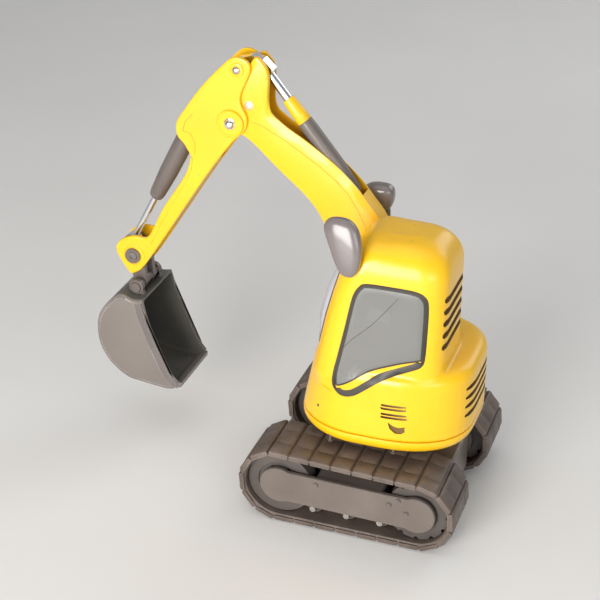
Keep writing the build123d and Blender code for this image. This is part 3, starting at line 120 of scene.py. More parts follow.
def surface(name, base, second, wear_highlight, hollow_shade, rough=(0.3, 0.5), metal=0.0, coat=0.0, bump=0.15,
            scale=60.0, wear_highlight_mix=0.6, hollow_shade_mix=0.7, spots=None, grain=900.0):
    """Worn surface: soft blotches, edges lightened by wear and painted highlight, painted shade in
    hollows, chips and fine bump.

    rough is the lowest and highest roughness, and spots the colour of rare chips. The noise
    scales, scale and grain, are in repeats per metre.
    """
    mat = bpy.data.materials.new(name)
    mat.use_nodes = True
    tree = mat.node_tree
    tree.nodes.clear()
    out = tree.nodes.new("ShaderNodeOutputMaterial")
    shader = node_of(tree, "ShaderNodeBsdfPrincipled", Metallic=metal)
    shader.inputs["Coat Weight"].default_value = coat
    shader.inputs["Coat Roughness"].default_value = 0.14
    tree.links.new(shader.outputs["BSDF"], out.inputs["Surface"])
    coords = tree.nodes.new("ShaderNodeTexCoord").outputs["Object"]

    blotch = noise(tree, coords, scale, 4.0)
    colour = ramp(tree, blotch, ((0.32, base), (0.70, second)))
    fine = noise(tree, coords, scale * 7.0, 3.0, 0.7)
    # edges lighter: painted highlight along rounded edges, broken by noise like wear
    rounded = node_of(tree, "ShaderNodeBevel", samples=4, Radius=EDGE_RADIUS)
    geometry = tree.nodes.new("ShaderNodeNewGeometry")
    facing = node_of(tree, "ShaderNodeVectorMath", operation="DOT_PRODUCT")
    tree.links.new(rounded.outputs["Normal"], facing.inputs[0])
    tree.links.new(geometry.outputs["Normal"], facing.inputs[1])
    edge = ramp(tree, facing.outputs["Value"], ((0.86, (wear_highlight_mix,) * 3), (0.975, (0, 0, 0))))
    broken = ramp(tree, fine, ((0.36, (0.2, 0.2, 0.2)), (0.60, (1, 1, 1))))
    amount = node_of(tree, "ShaderNodeMath", operation="MULTIPLY")
    tree.links.new(edge, amount.inputs[0])
    tree.links.new(broken, amount.inputs[1])
    colour = mix(tree, amount.outputs[0], colour, wear_highlight)
    # painted shade: colour darkened in hollows by ambient occlusion
    hollow = node_of(tree, "ShaderNodeAmbientOcclusion", samples=6, Distance=HOLLOW_REACH)
    shade = ramp(tree, hollow.outputs["AO"], ((0.18, (hollow_shade_mix,) * 3), (0.62, (0, 0, 0))))
    colour = mix(tree, shade, colour, hollow_shade)
    if spots:
        chips = noise(tree, coords, 190.0, 2.0, 0.4)
        chip = ramp(tree, chips, ((0.765, (0, 0, 0)), (0.785, (1, 1, 1))))
        colour = mix(tree, chip, colour, spots)
    tree.links.new(colour, shader.inputs["Base Color"])

    smear = noise(tree, coords, scale * 1.7, 6.0, 0.6, (1.0, 1.0, 0.35))
    low, high = rough
    roughness = ramp(tree, smear, ((0.3, (low,) * 3), (0.7, (high,) * 3)))
    tree.links.new(roughness, shader.inputs["Roughness"])
    bumps = node_of(tree, "ShaderNodeBump", Strength=bump, Distance=BUMP_DEPTH)
    grain_value = noise(tree, coords, grain, 3.0, 0.6)
    tree.links.new(grain_value, bumps.inputs["Height"])
    tree.links.new(bumps.outputs["Normal"], shader.inputs["Normal"])
    return mat


YELLOW = surface("yellow_plastic", (0.90, 0.50, 0.004), (0.96, 0.56, 0.006), (1.0, 0.74, 0.06),
                 (0.55, 0.24, 0.006), rough=(0.26, 0.40), coat=0.3, bump=0.04, scale=16.0,
                 wear_highlight_mix=0.35, spots=(0.45, 0.26, 0.02), grain=260.0)
# Darker copy of the yellow: painted shade, used in the boom's slot and creases, on the stick's
# hook marks and on the web between its cheeks.
YELLOW_SHADE = surface("yellow_plastic_shaded", (0.62, 0.32, 0.006), (0.72, 0.39, 0.01),
               (0.95, 0.62, 0.04), (0.32, 0.15, 0.01), coat=0.2, bump=0.05,
               scale=20.0, wear_highlight_mix=0.3, grain=260.0)
TRACK = surface("track_rubber", (0.085, 0.062, 0.050), (0.145, 0.110, 0.092),
                (0.34, 0.28, 0.24), (0.022, 0.016, 0.013), rough=(0.32, 0.6), bump=0.4,
                scale=55.0, wear_highlight_mix=0.75, hollow_shade_mix=0.85, grain=700.0)
FRAME = surface("frame_plastic", (0.125, 0.100, 0.086), (0.165, 0.135, 0.116),
                (0.32, 0.27, 0.24), (0.035, 0.027, 0.022), rough=(0.28, 0.46), bump=0.12,
                scale=34.0, wear_highlight_mix=0.7, coat=0.1)
WHEEL = surface("wheel_plastic", (0.070, 0.058, 0.052), (0.105, 0.088, 0.078),
                (0.24, 0.20, 0.18), (0.02, 0.017, 0.014), rough=(0.35, 0.6), bump=0.2,
                scale=50.0)
STEEL = surface("plated_steel", (0.50, 0.48, 0.46), (0.60, 0.58, 0.56), (0.82, 0.81, 0.79),
                (0.14, 0.12, 0.10), rough=(0.2, 0.38), metal=0.9, bump=0.1, scale=90.0)
CHROME = surface("chrome_rod", (0.76, 0.77, 0.80), (0.86, 0.87, 0.9), (0.95, 0.95, 0.96),
                 (0.25, 0.24, 0.24), rough=(0.08, 0.18), metal=1.0, bump=0.02, scale=70.0)
GREY = surface("grey_brown_plastic", (0.122, 0.100, 0.090), (0.158, 0.132, 0.120),
               (0.30, 0.265, 0.24), (0.04, 0.032, 0.028), rough=(0.26, 0.42), coat=0.15,
               bump=0.05, scale=24.0, wear_highlight_mix=0.4)
MIRROR = surface("mirror_grey", (0.165, 0.140, 0.136), (0.205, 0.178, 0.174),
                 (0.36, 0.33, 0.32), (0.05, 0.042, 0.04), rough=(0.16, 0.3), coat=0.5,
                 bump=0.03, scale=20.0, wear_highlight_mix=0.3)
BUCKET = surface("bucket_grey", (0.170, 0.146, 0.130), (0.205, 0.178, 0.160),
                 (0.56, 0.52, 0.48), (0.09, 0.075, 0.065), rough=(0.3, 0.44), coat=0.12,
                 bump=0.06, scale=14.0, wear_highlight_mix=0.8)
# Darker copy of the bucket grey: painted shade of the angled mouth bands; the rims and the lip
# take it too.
BUCKET_EDGE_SHADE = surface("bucket_edge_shaded", (0.135, 0.116, 0.112), (0.168, 0.146, 0.140),
                      (0.52, 0.47, 0.45), (0.08, 0.068, 0.064), rough=(0.26, 0.4), coat=0.12,
                      bump=0.06, scale=24.0, wear_highlight_mix=0.7)
CHARCOAL = surface("bucket_inside", (0.075, 0.075, 0.070), (0.105, 0.100, 0.088),
                   (0.24, 0.23, 0.19), (0.035, 0.032, 0.028), rough=(0.22, 0.45), bump=0.2,
                   scale=30.0)
DARK = surface("dark_recess", (0.15, 0.082, 0.018), (0.21, 0.118, 0.026), (0.34, 0.21, 0.05),
               (0.06, 0.034, 0.010), rough=(0.5, 0.7), bump=0.2)
GLASS = surface("dark_window", (0.165, 0.165, 0.155), (0.195, 0.192, 0.180), (0.26, 0.26, 0.25),
                (0.06, 0.06, 0.055), rough=(0.28, 0.42), coat=0.25, bump=0.02, scale=9.0,
                wear_highlight_mix=0.2, hollow_shade_mix=0.3)
# Windshield glass: its pale grey is a painted reflection, far paler than the side windows.
WINDSHIELD_REFLECTION = surface("windshield_painted_reflection", (0.42, 0.41, 0.45), (0.50, 0.49, 0.54), (0.7, 0.7, 0.74),
                 (0.2, 0.19, 0.2), rough=(0.1, 0.22), coat=0.5, bump=0.02, scale=9.0,
                 wear_highlight_mix=0.2, hollow_shade_mix=0.3)
SEAL = surface("black_seal", (0.030, 0.026, 0.020), (0.048, 0.042, 0.034), (0.10, 0.09, 0.075),
               (0.015, 0.013, 0.01), rough=(0.35, 0.55), bump=0.1, wear_highlight_mix=0.3)
BRASS = surface("cut_brass", (0.62, 0.42, 0.13), (0.74, 0.52, 0.2), (0.9, 0.75, 0.4),
                (0.2, 0.13, 0.05), rough=(0.22, 0.4), metal=1.0)
NATURAL = surface("natural_plastic", (0.62, 0.6, 0.54), (0.72, 0.7, 0.64), (0.85, 0.83, 0.78),
                  (0.2, 0.18, 0.15))
WRAP = surface("battery_wrap", (0.02, 0.045, 0.16), (0.035, 0.07, 0.22), (0.2, 0.25, 0.4),
               (0.01, 0.02, 0.06), rough=(0.25, 0.4), bump=0.1)
BOARD = surface("circuit_board", (0.01, 0.09, 0.03), (0.02, 0.13, 0.05), (0.3, 0.32, 0.2),
                (0.005, 0.03, 0.012), bump=0.2)
BLACK = surface("black_plastic", (0.018, 0.017, 0.016), (0.035, 0.033, 0.03), (0.12, 0.11, 0.1),
                (0.008, 0.008, 0.007), rough=(0.35, 0.5))

# The look of a CAD node, by its material slot.
NODE_LOOKS = {
    "track_rubber": TRACK, "wheel_plastic": WHEEL, "frame_plastic": FRAME, "steel": STEEL,
    "motor_case": STEEL, "gear_brass": BRASS, "gear_plastic": NATURAL, "battery_wrap": WRAP,
    "switch_plastic": BLACK, "yellow_plastic": YELLOW, "window_plastic": GLASS,
    "seal_rubber": SEAL, "grey_plastic": GREY, "circuit_board": BOARD, "chrome": CHROME,
    "bucket_grey": BUCKET,
}


# ---------------- mesh helpers
def link(name, data):
    """New object of some data, in the scene."""
    obj = bpy.data.objects.new(name, data)
    bpy.context.scene.collection.objects.link(obj)
    return obj


def new_object(name, verts, faces, *mats):
    """Mesh object from points in metres, smooth-shaded with crisp edges."""
    mesh = bpy.data.meshes.new(name)
    mesh.from_pydata([tuple(v) for v in verts], [], faces)
    obj = link(name, mesh)
    for mat in mats:
        mesh.materials.append(mat)
    tidy_mesh(obj)
    return obj


def tidy_mesh(obj, angle=34.0):
    """Outward normals, smooth shading and sharp edges by angle."""
    mesh = bmesh.new()
    mesh.from_mesh(obj.data)
    bmesh.ops.remove_doubles(mesh, verts=mesh.verts, dist=1e-6)
    bmesh.ops.recalc_face_normals(mesh, faces=mesh.faces)
    mesh.to_mesh(obj.data)
    mesh.free()
    obj.data.polygons.foreach_set("use_smooth", [True] * len(obj.data.polygons))
    obj.data.set_sharp_from_angle(angle=math.radians(angle))


def apply_modifiers(obj):
    """Replaces the mesh by its modified result."""
    graph = bpy.context.evaluated_depsgraph_get()
    mesh = bpy.data.meshes.new_from_object(obj.evaluated_get(graph), depsgraph=graph)
    obj.modifiers.clear()
    old = obj.data
    obj.data = mesh
    bpy.data.meshes.remove(old)


def join(name, objs):
    """Joins meshes into one object, keeping their materials."""
    mats = []
    mesh = bmesh.new()
    for obj in objs:
        start = len(mesh.faces)
        mesh.from_mesh(obj.data)
        mesh.faces.ensure_lookup_table()
        for face in mesh.faces[start:]:
            mat = obj.data.materials[face.material_index]
            if mat not in mats:
                mats.append(mat)
            face.material_index = mats.index(mat)
    data = bpy.data.meshes.new(name)
    mesh.to_mesh(data)
    mesh.free()
    for mat in mats:
        data.materials.append(mat)
    for obj in objs:
        bpy.data.objects.remove(obj)
    return link(name, data)


def skin(rings, caps=True):
    """Points and faces of a surface through closed rings of equal length."""
    count = len(rings[0])
    verts = [v for ring in rings for v in ring]
    faces = []
    for level in range(len(rings) - 1):
        for i in range(count):
            j = (i + 1) % count
            faces.append((level * count + i, level * count + j,
                          (level + 1) * count + j, (level + 1) * count + i))
    if caps:
        faces.append(tuple(range(count)))
        faces.append(tuple(range((len(rings) - 1) * count, len(rings) * count)))
    return verts, faces


def arm_point(w, point):
    """Point (y, z) of the arm's side profile, w to the left of its middle plane, in metres."""
    return Vector((ARM_X + w, point[0], point[1])) * MM


def arm_rings(outline, levels, sign=1):
    """Rings of a part of the arm at (distance from its middle plane, inset) levels."""
    return [[arm_point(sign * w, p) for p in inset(outline, d)] for w, d in levels]


def on_cheek(sign):
    """Placer of points on one side of the arm, by their distance from the middle plane."""
    return lambda point, off: arm_point(sign * off, point)


def curve_closed(points, steps=4, sharp=()):
    """Smooth closed outline through the points; sharp ones keep their corner."""
    count = len(points)
    pts = [Vector(p) for p in points]
    out = []
    for i in range(count):
        before, start, end, after = (pts[(i + k - 1) % count] for k in range(4))
        if i in sharp:
            before = start * 2 - end
        if (i + 1) % count in sharp:
            after = end * 2 - start
        for s in range(steps):
            t = s / steps
            out.append(0.5 * (2 * start + (end - before) * t
                              + (2 * before - 5 * start + 4 * end - after) * t * t
                              + (3 * start - before - 3 * end + after) * t ** 3))
    return out


def area_sign(points):
    """+1 for an anticlockwise outline."""
    total = sum(a.x * b.y - b.x * a.y for a, b in zip(points, points[1:] + points[:1]))
    return 1.0 if total > 0 else -1.0


def inset(points, amount):
    """Outline moved inwards by a number, or by a function of each point."""
    sign = area_sign(points)
    count = len(points)
    out = []
    for i, point in enumerate(points):
        along = (points[(i + 1) % count] - points[i - 1]).normalized()
        inward = Vector((-along.y, along.x)) * sign
        out.append(point + inward * (amount(point) if callable(amount) else amount))
    return out


def dome_levels(base, height, reach, steps):
    """(height, inset) pairs of a quarter round that closes a wall from its base upwards."""
    angles = [math.pi / 2 * k / steps for k in range(1, steps + 1)]
    return [(base + height * math.sin(a), reach * (1 - math.cos(a))) for a in angles]


def round_levels(half, radius, steps=4):
    """(offset, inset) pairs for a slab with rounded edges."""
    side = []
    for step in range(steps + 1):
        angle = math.pi / 2 * step / steps
        side.append((half - radius + radius * math.sin(angle), radius * (1 - math.cos(angle))))
    return [(-w, d) for w, d in reversed(side)] + side


def lathe(name, origin, axis, profile, mat, segments=40):
    """Turned solid: the profile is (distance along the axis, radius)."""
    axis = Vector(axis).normalized()
    side = axis.orthogonal().normalized()
    other = axis.cross(side)
    rings = []
    for distance, radius in profile:
        centre = Vector(origin) + axis * distance
        rings.append([(centre + (side * math.cos(a) + other * math.sin(a)) * radius) * MM
                      for a in (2 * math.pi * k / segments for k in range(segments))])
    return new_object(name, *skin(rings), mat)


def box_cutter(name, centre, size, radius=0.0):
    """Box for cutting, optionally with rounded edges."""
    mesh = bpy.data.meshes.new(name)
    work = bmesh.new()
    bmesh.ops.create_cube(work, size=1.0)
    bmesh.ops.scale(work, vec=Vector(size) * MM, verts=work.verts)
    if radius:
        bmesh.ops.bevel(work, geom=work.edges[:], offset=radius * MM, segments=3,
                        affect="EDGES", profile=0.5)
    work.transform(Matrix.Translation(Vector(centre) * MM))
    work.to_mesh(mesh)
    work.free()
    return link(name, mesh)


def cut(obj, cutter, inside):
    """Cuts one object out of another; the faces left by the cut take the inside's material."""
    tree = BVHTree.FromObject(cutter, bpy.context.evaluated_depsgraph_get())
    mod = obj.modifiers.new("cut", "BOOLEAN")
    mod.operation = "DIFFERENCE"
    mod.solver = "EXACT"
    mod.object = cutter
    apply_modifiers(obj)
    mats = obj.data.materials
    if mats.find(inside.name) < 0:
        mats.append(inside)
    index = mats.find(inside.name)
    for polygon in obj.data.polygons:
        if tree.find_nearest(polygon.center, CUT_FACE_GAP)[0] is not None:
            polygon.material_index = index
    bpy.data.objects.remove(cutter)
    tidy_mesh(obj)


def put(obj, body, slot_name, *nodes):
    """Rides a piece on its body and hides the CAD nodes it stands for."""
    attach(obj, body)
    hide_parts(*nodes)


# ---------------- CAD nodes kept as they are
DULLED_SCREWS = ("bucket_ear_bolt", "house_screws", "chassis_screws")
slots = {s["node"]: s["material_slot"] for s in frame["record"]["subparts"]}
for node_name, node_obj in frame["nodes"].items():
    node_obj.data.materials.clear()
    node_look = GREY if node_name in DULLED_SCREWS else NODE_LOOKS[slots[node_name]]
    node_obj.data.materials.append(node_look)


# ---------------- tracks
def outwards(angle):
    """Unit vector in the side plane."""
    return Vector((0, math.cos(angle), math.sin(angle)))


def belt_path(inner):
    """Straight runs and arcs round both wheels, at a distance inwards from the ground line.

    A run is ("line", start, end, outward angle), an arc ("arc", centre, radius, from, to).
    """
    front_r, rear_r = FRONT_AXLE.z - inner, REAR_AXLE.z - inner
    gap = REAR_AXLE - FRONT_AXLE
    distance = gap.length
    lean = math.asin((front_r - rear_r) / distance)
    base = math.atan2(gap.z, gap.y)
    top = base + math.pi / 2 - lean
    bottom = base - math.pi / 2 + lean
    pieces = []

    def at(centre, radius, angle):
        return centre + outwards(angle) * radius

    pieces.append(("line", at(FRONT_AXLE, front_r, top), at(REAR_AXLE, rear_r, top), top))
    pieces.append(("arc", REAR_AXLE, rear_r, top, bottom))
    pieces.append(("line", at(REAR_AXLE, rear_r, bottom), at(FRONT_AXLE, front_r, bottom), bottom))
    pieces.append(("arc", FRONT_AXLE, front_r, bottom, top - 2 * math.pi))
    return pieces


def walk_path(pieces, count):
    """Evenly spaced (point, outward direction) round a path, and the path's length."""
    lengths = []
    for piece in pieces:
        if piece[0] == "line":
            lengths.append((piece[2] - piece[1]).length)
        else:
            lengths.append(abs(piece[4] - piece[3]) * piece[2])
    total = sum(lengths)
    spots = []
    for k in range(count):
        rest = total * k / count
        for piece, length in zip(pieces, lengths):
            if rest > length:
                rest -= length
                continue
            t = rest / length
            if piece[0] == "line":
                point = piece[1].lerp(piece[2], t)
                angle = piece[3]
            else:
                angle = piece[3] + (piece[4] - piece[3]) * t
                point = piece[1] + outwards(angle) * piece[2]
            spots.append((point, outwards(angle)))
            break
    return spots, total


PAD_COUNT = 24
PAD_GAP = 1.1
PAD_ROOT = 2.2
PAD_SINK = 1.8
BELT_INSIDE = 4.7


def belt_point(sign, x, place, along, depth):
    """Point of a belt in metres: across, along and into it from a place on its path."""
    spot, outward = place
    tangent = Vector((1, 0, 0)).cross(outward)
    return (Vector((sign * x, 0, 0)) + spot + tangent * along - outward * depth) * MM


def make_band(sign):
    """Smooth band that carries the pads."""
    section = ((BELT_IN + 0.9, 1.9), (BELT_OUT - 0.9, 1.9), (BELT_OUT - 0.9, 3.2),
               (BELT_OUT - 2.2, BELT_INSIDE), (BELT_IN + 2.2, BELT_INSIDE), (BELT_IN + 0.9, 3.2))
    rings = [[belt_point(sign, x, place, 0.0, depth) for x, depth in section]
             for place in walk_path(belt_path(0.0), 160)[0]]
    return new_object("band", *skin(rings + rings[:1], caps=False), TRACK)


def make_pad(sign, place, half, lift):
    """One worn pad: crowned lengthwise, with two grooves across its width."""
    across = ((BELT_IN, 2.6), (BELT_IN + 0.35, 1.0), (BELT_IN + 1.8, 0.1), (36.5, 0.0),
              (37.6, 0.55), (38.7, 0.0), (51.8, 0.0), (52.9, 0.55), (54.0, 0.0),
              (BELT_OUT - 1.8, 0.1), (BELT_OUT - 0.35, 1.0), (BELT_OUT, 2.6))
    lengthwise = ((-half, 2.2), (-half + 0.25, 1.0), (-half + 1.3, 0.15), (-half + 2.4, 0.0),
                  (half - 3.2, 0.25), (half - 1.5, 0.1), (half - 0.3, 0.9), (half, 2.2))
    verts = []
    for along, sink in lengthwise:
        for x, drop in across:
            depth = 0.05 + lift - PAD_SINK + max(drop, sink) + 0.25 * min(drop, sink)
            verts.append(belt_point(sign, x, place, along, depth))
    columns = len(across)
    rows = len(lengthwise)
    faces = []
    for i in range(rows - 1):
        for j in range(columns - 1):
            a = i * columns + j
            faces.append((a, a + 1, a + columns + 1, a + columns))
    base = len(verts)
    for along in (-half, half):
        for x in (BELT_IN, BELT_OUT):
            verts.append(belt_point(sign, x, place, along, PAD_ROOT))
    faces.append((*range(columns), base + 1, base))
    faces.append((*range((rows - 1) * columns, rows * columns), base + 3, base + 2))
    faces.append((*range(0, rows * columns, columns), base + 2, base))
    faces.append((*range(columns - 1, rows * columns, columns), base + 3, base + 1))
    faces.append((base, base + 1, base + 3, base + 2))
    return new_object("pad", verts, faces, TRACK)


def make_lug(sign, place):
    """Guide lug on the inside of the belt."""
    rings = [[belt_point(sign, TRACK_X + sign * x, place, along, depth)
              for along, x in ((-length, -width), (length, -width), (length, width),
                               (-length, width))]
             for depth, length, width in ((-0.4, 1.7, 3.0), (1.4, 1.5, 2.8), (2.2, 0.9, 2.2))]
    return new_object("lug", *skin(rings), TRACK)


def make_belt(side, sign):
    """Belt of one side: band, pads and guide lugs."""
    random.seed(11 + sign)
    parts = [make_band(sign)]
    pad_path, total = walk_path(belt_path(PAD_SINK), PAD_COUNT)
    half = (total / PAD_COUNT - PAD_GAP) / 2
    for place in pad_path:
        parts.append(make_pad(sign, place, half, random.uniform(-0.12, 0.12)))
    for place in walk_path(belt_path(BELT_INSIDE), PAD_COUNT)[0]:
        parts.append(make_lug(sign, place))
    belt = join(f"{side}_track", parts)
    tidy_mesh(belt, 40.0)
    put(belt, "undercarriage", "track_rubber", f"{side}_track_belt")


make_belt("left", 1)
make_belt("right", -1)


# ---------------- house
CAB_RIGHT_X = -11.0
CAB_REAR_Y = 51.0
SKIRT_Z, SKIRT_ROUND = 58.0, 8.0
SKIRT_HALF_WIDTH = 51.0
SIDE_SLOPE = 0.0536
DECK_Z = 105.0
VENT_DEPTH = 1.7
# (height, y) points down the middle of the cab's front
FRONT_LINE = ((95.0, -33.0), (112.0, -29.6), (133.0, -26.0), (151.0, -22.2), (168.0, -17.0),
              (184.0, -12.0), (200.0, -6.0))


def lean(z):
    """Distance of the house's left side from the middle at a height."""
    return SKIRT_HALF_WIDTH - SIDE_SLOPE * (z - SKIRT_Z)


def front_y(z):
    """Front of the cab at a height."""
    for (z0, y0), (z1, y1) in zip(FRONT_LINE, FRONT_LINE[1:]):
        if z <= z1:
            return y0 + (y1 - y0) * (z - z0) / (z1 - z0)
    return FRONT_LINE[-1][1]


def ledge(y):
    """How far the cab stands in from the lower body's side, growing to the rear."""
    t = min(max((y - 8.0) / 36.0, 0.0), 1.0)
    return 5.5 * t * t * (3 - 2 * t)


def quarter(centre, radii, start, power=2.0, count=14):
    """Points of a superelliptic quarter turn in plan, anticlockwise from an angle."""
    points = []
    for k in range(count):
        angle = start + math.pi / 2 * k / (count - 1)
        c, s = math.cos(angle), math.sin(angle)
        points.append(Vector((centre[0] + radii[0] * math.copysign(abs(c) ** (2 / power), c),
                              centre[1] + radii[1] * math.copysign(abs(s) ** (2 / power), s))))
    return points


def body_ring(z, d):
    """Plan ring of the lower body at a height, inset by d: blunt front, round tail."""
    half = lean(z) - d
    front = (half - 15.5, 42.0 - d - 0.2 * max(0.0, z - 67.0))
    tail = (half - 8.0, 56.0 - d)
    ring = quarter((15.5, -1.0), front, -math.pi / 2)
    ring += quarter((8.0, 11.0), tail, 0.0, 2.4)
    ring += quarter((-8.0, 11.0), tail, math.pi / 2, 2.4)
    ring += quarter((-15.5, -1.0), front, math.pi)
    return [Vector((p.x, p.y, z)) * MM for p in ring]


def cab_ring(z, d):
    """Plan ring of the cab at a height, inset by d, with a low brow over the windshield."""
    left, right = lean(z) - d, CAB_RIGHT_X + d * 0.4
    front, rear = front_y(z) + d, CAB_REAR_Y - d
    room = (left - right) / 2 - 0.4
    fl, rl = min(18.0, room), min(14.0, room)
    fr, rr = min(8.0, room), min(9.0, room)
    ring = quarter((left - fl, front + 14.0), (fl, 14.0), -math.pi / 2)
    ring += quarter((left - rl, rear - 14.0), (rl, 14.0), 0.0)
    ring += quarter((right + rr, rear - 9.0), (rr, 9.0), math.pi / 2)
    ring += quarter((right + fr, front + 8.0), (fr, 8.0), math.pi)
    points = []
    for p in ring:
        share = min(max((p.x - right) / 30.0, 0.0), 1.0)
        rise = min(max((z - 176.0) / 14.0, 0.0), 1.0)
        brow = rise * 3.4 * math.exp(-((p.y + 3.0) / 11.0) ** 2)
        points.append(Vector((p.x - ledge(p.y) * share, p.y, z + brow)) * MM)
    return points


def smooth_mesh(obj, voxel, rounds):
    """Melts a mesh into one smooth skin."""
    melt = obj.modifiers.new("melt", "REMESH")
    melt.mode = "VOXEL"
    melt.voxel_size = voxel * MM
    soft = obj.modifiers.new("soft", "SMOOTH")
    soft.factor = 0.5
    soft.iterations = rounds
    apply_modifiers(obj)


def wrapped_slot(ring, z, height, steps):
    """Cutter for a vent slot that follows the curved wall at a height."""
    outer, inner = ring(z, -3.0), ring(z, VENT_DEPTH)
    rings = []
    for k in steps:
        end = k in (steps[0], steps[-1])
        up = Vector((0, 0, height / 2 * (0.45 if end else 1.0))) * MM
        rings.append([outer[k] - up, outer[k] + up, inner[k] + up, inner[k] - up])
    return new_object("slot", *skin(rings))


MOON = ((21.6, 80.6), (23.0, 76.2), (26.4, 73.4), (30.2, 73.4), (33.2, 75.6), (34.8, 79.6),
        (32.0, 78.4), (28.4, 77.6), (24.8, 78.6))


def make_tray():
    """Rounded skirt under the house, closed by a stepped joint line."""
    angles = [math.pi / 2 * k / 8 for k in range(8)]
    levels = [(SKIRT_Z + SKIRT_ROUND * (1 - math.cos(a)), SKIRT_ROUND * (1 - math.sin(a)))
              for a in angles]
    levels += [(66.4, 0.05), (67.1, 0.2), (67.35, 0.9)]
    tray = new_object("house_skirt", *skin([body_ring(z, d) for z, d in levels]), YELLOW)
    cut(tray, box_cutter("hole", (0, 4, 61.0), (60, 60, 8)), DARK)
    put(tray, "house", "yellow_plastic", "house_tray")


def house_cutters():
    """Well for the boom, side slots with a half moon below, and the rear and tail vents."""
    cutters = [box_cutter("well", (-24.0, -30.0, 118.0), (25.2, 104.0, 60.0), radius=2.0)]
    for z in (92.0, 89.7, 86.0, 83.8):
        for x in (50.0, -50.0):
            cutters.append(box_cutter("slot", (x, 27.9, z), (5.0, 21.8, 1.6), radius=0.72))
    for side in (1, -1):
        moon = [[Vector((side * x, y, z)) * MM for y, z in MOON] for x in (48.2, 54.0)]
        cutters.append(new_object("moon", *skin(moon)))
    for row in range(5):
        cutters.append(wrapped_slot(cab_ring, 129.8 + 7.8 * row, 4.4, range(23, 33)))
    for row in range(4):
        cutters.append(wrapped_slot(body_ring, 79.5 + 6.4 * row, 3.4, range(24, 36)))
    for cutter in cutters:
        cutter.data.materials.append(DARK)
    return join("cutters", cutters)


def make_body():
    """Lower body and cab, melted together, then cut for the well and vents."""
    deck_levels = [(67.4, 0.9), (67.7, 0.15), (68.4, 0.0), (86.0, 0.0), (DECK_Z, 0.0)]
    deck_levels += dome_levels(DECK_Z, 7.0, 7.0, 7)
    deck_levels += [(112.3, 14.0), (112.5, 26.0)]
    deck = new_object("deck", *skin([body_ring(z, d) for z, d in deck_levels]), YELLOW)
    cab_levels = [(95.0, 2.0)] + [(z, 0.0) for z in (104.0, 120.0, 140.0, 158.0, 170.0)]
    cab_levels += dome_levels(172.0, 20.5, 19.0, 10)
    cab_levels += [(192.9, 22.0), (193.1, 25.0)]
    cab = new_object("cab", *skin([cab_ring(z, d) for z, d in cab_levels]), YELLOW)
    shell = join("house_body", [deck, cab])
    smooth_mesh(shell, 1.0, 9)
    cut(shell, house_cutters(), DARK)
    put(shell, "house", "yellow_plastic", "body_shell")
    return shell


make_tray()
house = make_body()
HOUSE_TREE = BVHTree.FromObject(house, bpy.context.evaluated_depsgraph_get())


def on_house(origin, direction, fallback, off):
    """Point where a ray along an axis meets the house, stood off towards its start, in metres."""
    direction = Vector(direction)
    origin = Vector(origin) * MM
    hit = HOUSE_TREE.ray_cast(origin, direction)[0]
    place = hit if hit else origin + direction * (direction.dot(fallback * MM - origin))
    return place - direction * off * MM


def on_side(point, off):
    """Point of the house's left side at (y, z), stood off outwards by off."""
    y, z = point
    return on_house((90.0, y, z), (-1, 0, 0), Vector((lean(z), y, z)), off)


def on_inner_side(point, off):
    """Point of the cab's right side, in the well, at (y, z)."""
    y, z = point
    return on_house((-30.0, y, z), (1, 0, 0), Vector((CAB_RIGHT_X, y, z)), off)


def on_front(point, off):
    """Point of the house's front at (x, z), stood off forwards by off."""
    x, z = point
    return on_house((x, -90.0, z), (0, 1, 0), Vector((x, front_y(z), z)), off)


def ribbon(name, points, width, heights, mat, place):
    """Low raised strip along points of a surface; place puts a point at a height over it."""
    pts = [Vector(p) for p in points]
    foot, top = heights
    rings = []
    for i, p in enumerate(pts):
        run = (pts[min(i + 1, len(pts) - 1)] - pts[max(i - 1, 0)]).normalized()
        side = Vector((-run.y, run.x)) * width / 2
        rings.append([place(p - side, foot), place(p - side * 0.7, top),
                      place(p + side * 0.7, top), place(p + side, foot)])
    return new_object(name, *skin(rings), mat)


def seal_loop(outline, section, place):
    """Closed rubber ring: its section is (inset, height) points round an outline."""
    rings = [[place(p, height) for p in inset(outline, depth)] for depth, height in section]
    return new_object("seal", *skin(rings + rings[:1], False), SEAL)


def pane_rings(outline, heart, shares, place):
    """Rings of a pane that shrink towards a middle point, following the surface below."""
    return [[place(heart.lerp(p, share), 0.3) for p in outline] for share in shares]


# Outlines of the left window's seal and of its pane, which leave the yellow sill between them.
WINDOW = ((4.6, 170.2), (20.0, 169.6), (34.0, 168.2), (39.6, 165.0), (41.5, 158.5), (41.5, 138.0),
          (41.0, 124.0), (39.4, 119.6), (36.0, 117.2), (26.8, 112.9), (15.8, 107.6), (9.0, 102.4),
          (3.0, 97.4), (-2.1, 94.2), (-7.9, 93.0), (-12.4, 94.8), (-14.6, 99.3), (-14.0, 108.4),
          (-11.4, 121.0), (-7.6, 140.0), (-4.6, 156.0), (-2.7, 163.0), (0.3, 168.0))
PANE = ((5.4, 168.3), (20.0, 167.7), (33.4, 166.3), (37.8, 163.6), (39.4, 157.8), (39.4, 138.0),
        (39.2, 126.0), (38.2, 123.6), (27.7, 120.4), (15.4, 115.7), (9.2, 112.9), (3.1, 109.1),
        (-4.4, 103.4), (-9.4, 100.2), (-12.2, 99.8), (-12.0, 108.4), (-9.5, 121.0),
        (-5.8, 140.0), (-2.8, 156.0), (-1.0, 162.4), (1.8, 166.6))
RIGHT_WINDOW = ((-12.0, 166.0), (34.0, 164.0), (38.0, 158.0), (38.0, 126.0), (33.0, 121.0),
                (-22.0, 121.0), (-25.0, 126.0), (-17.0, 160.0))
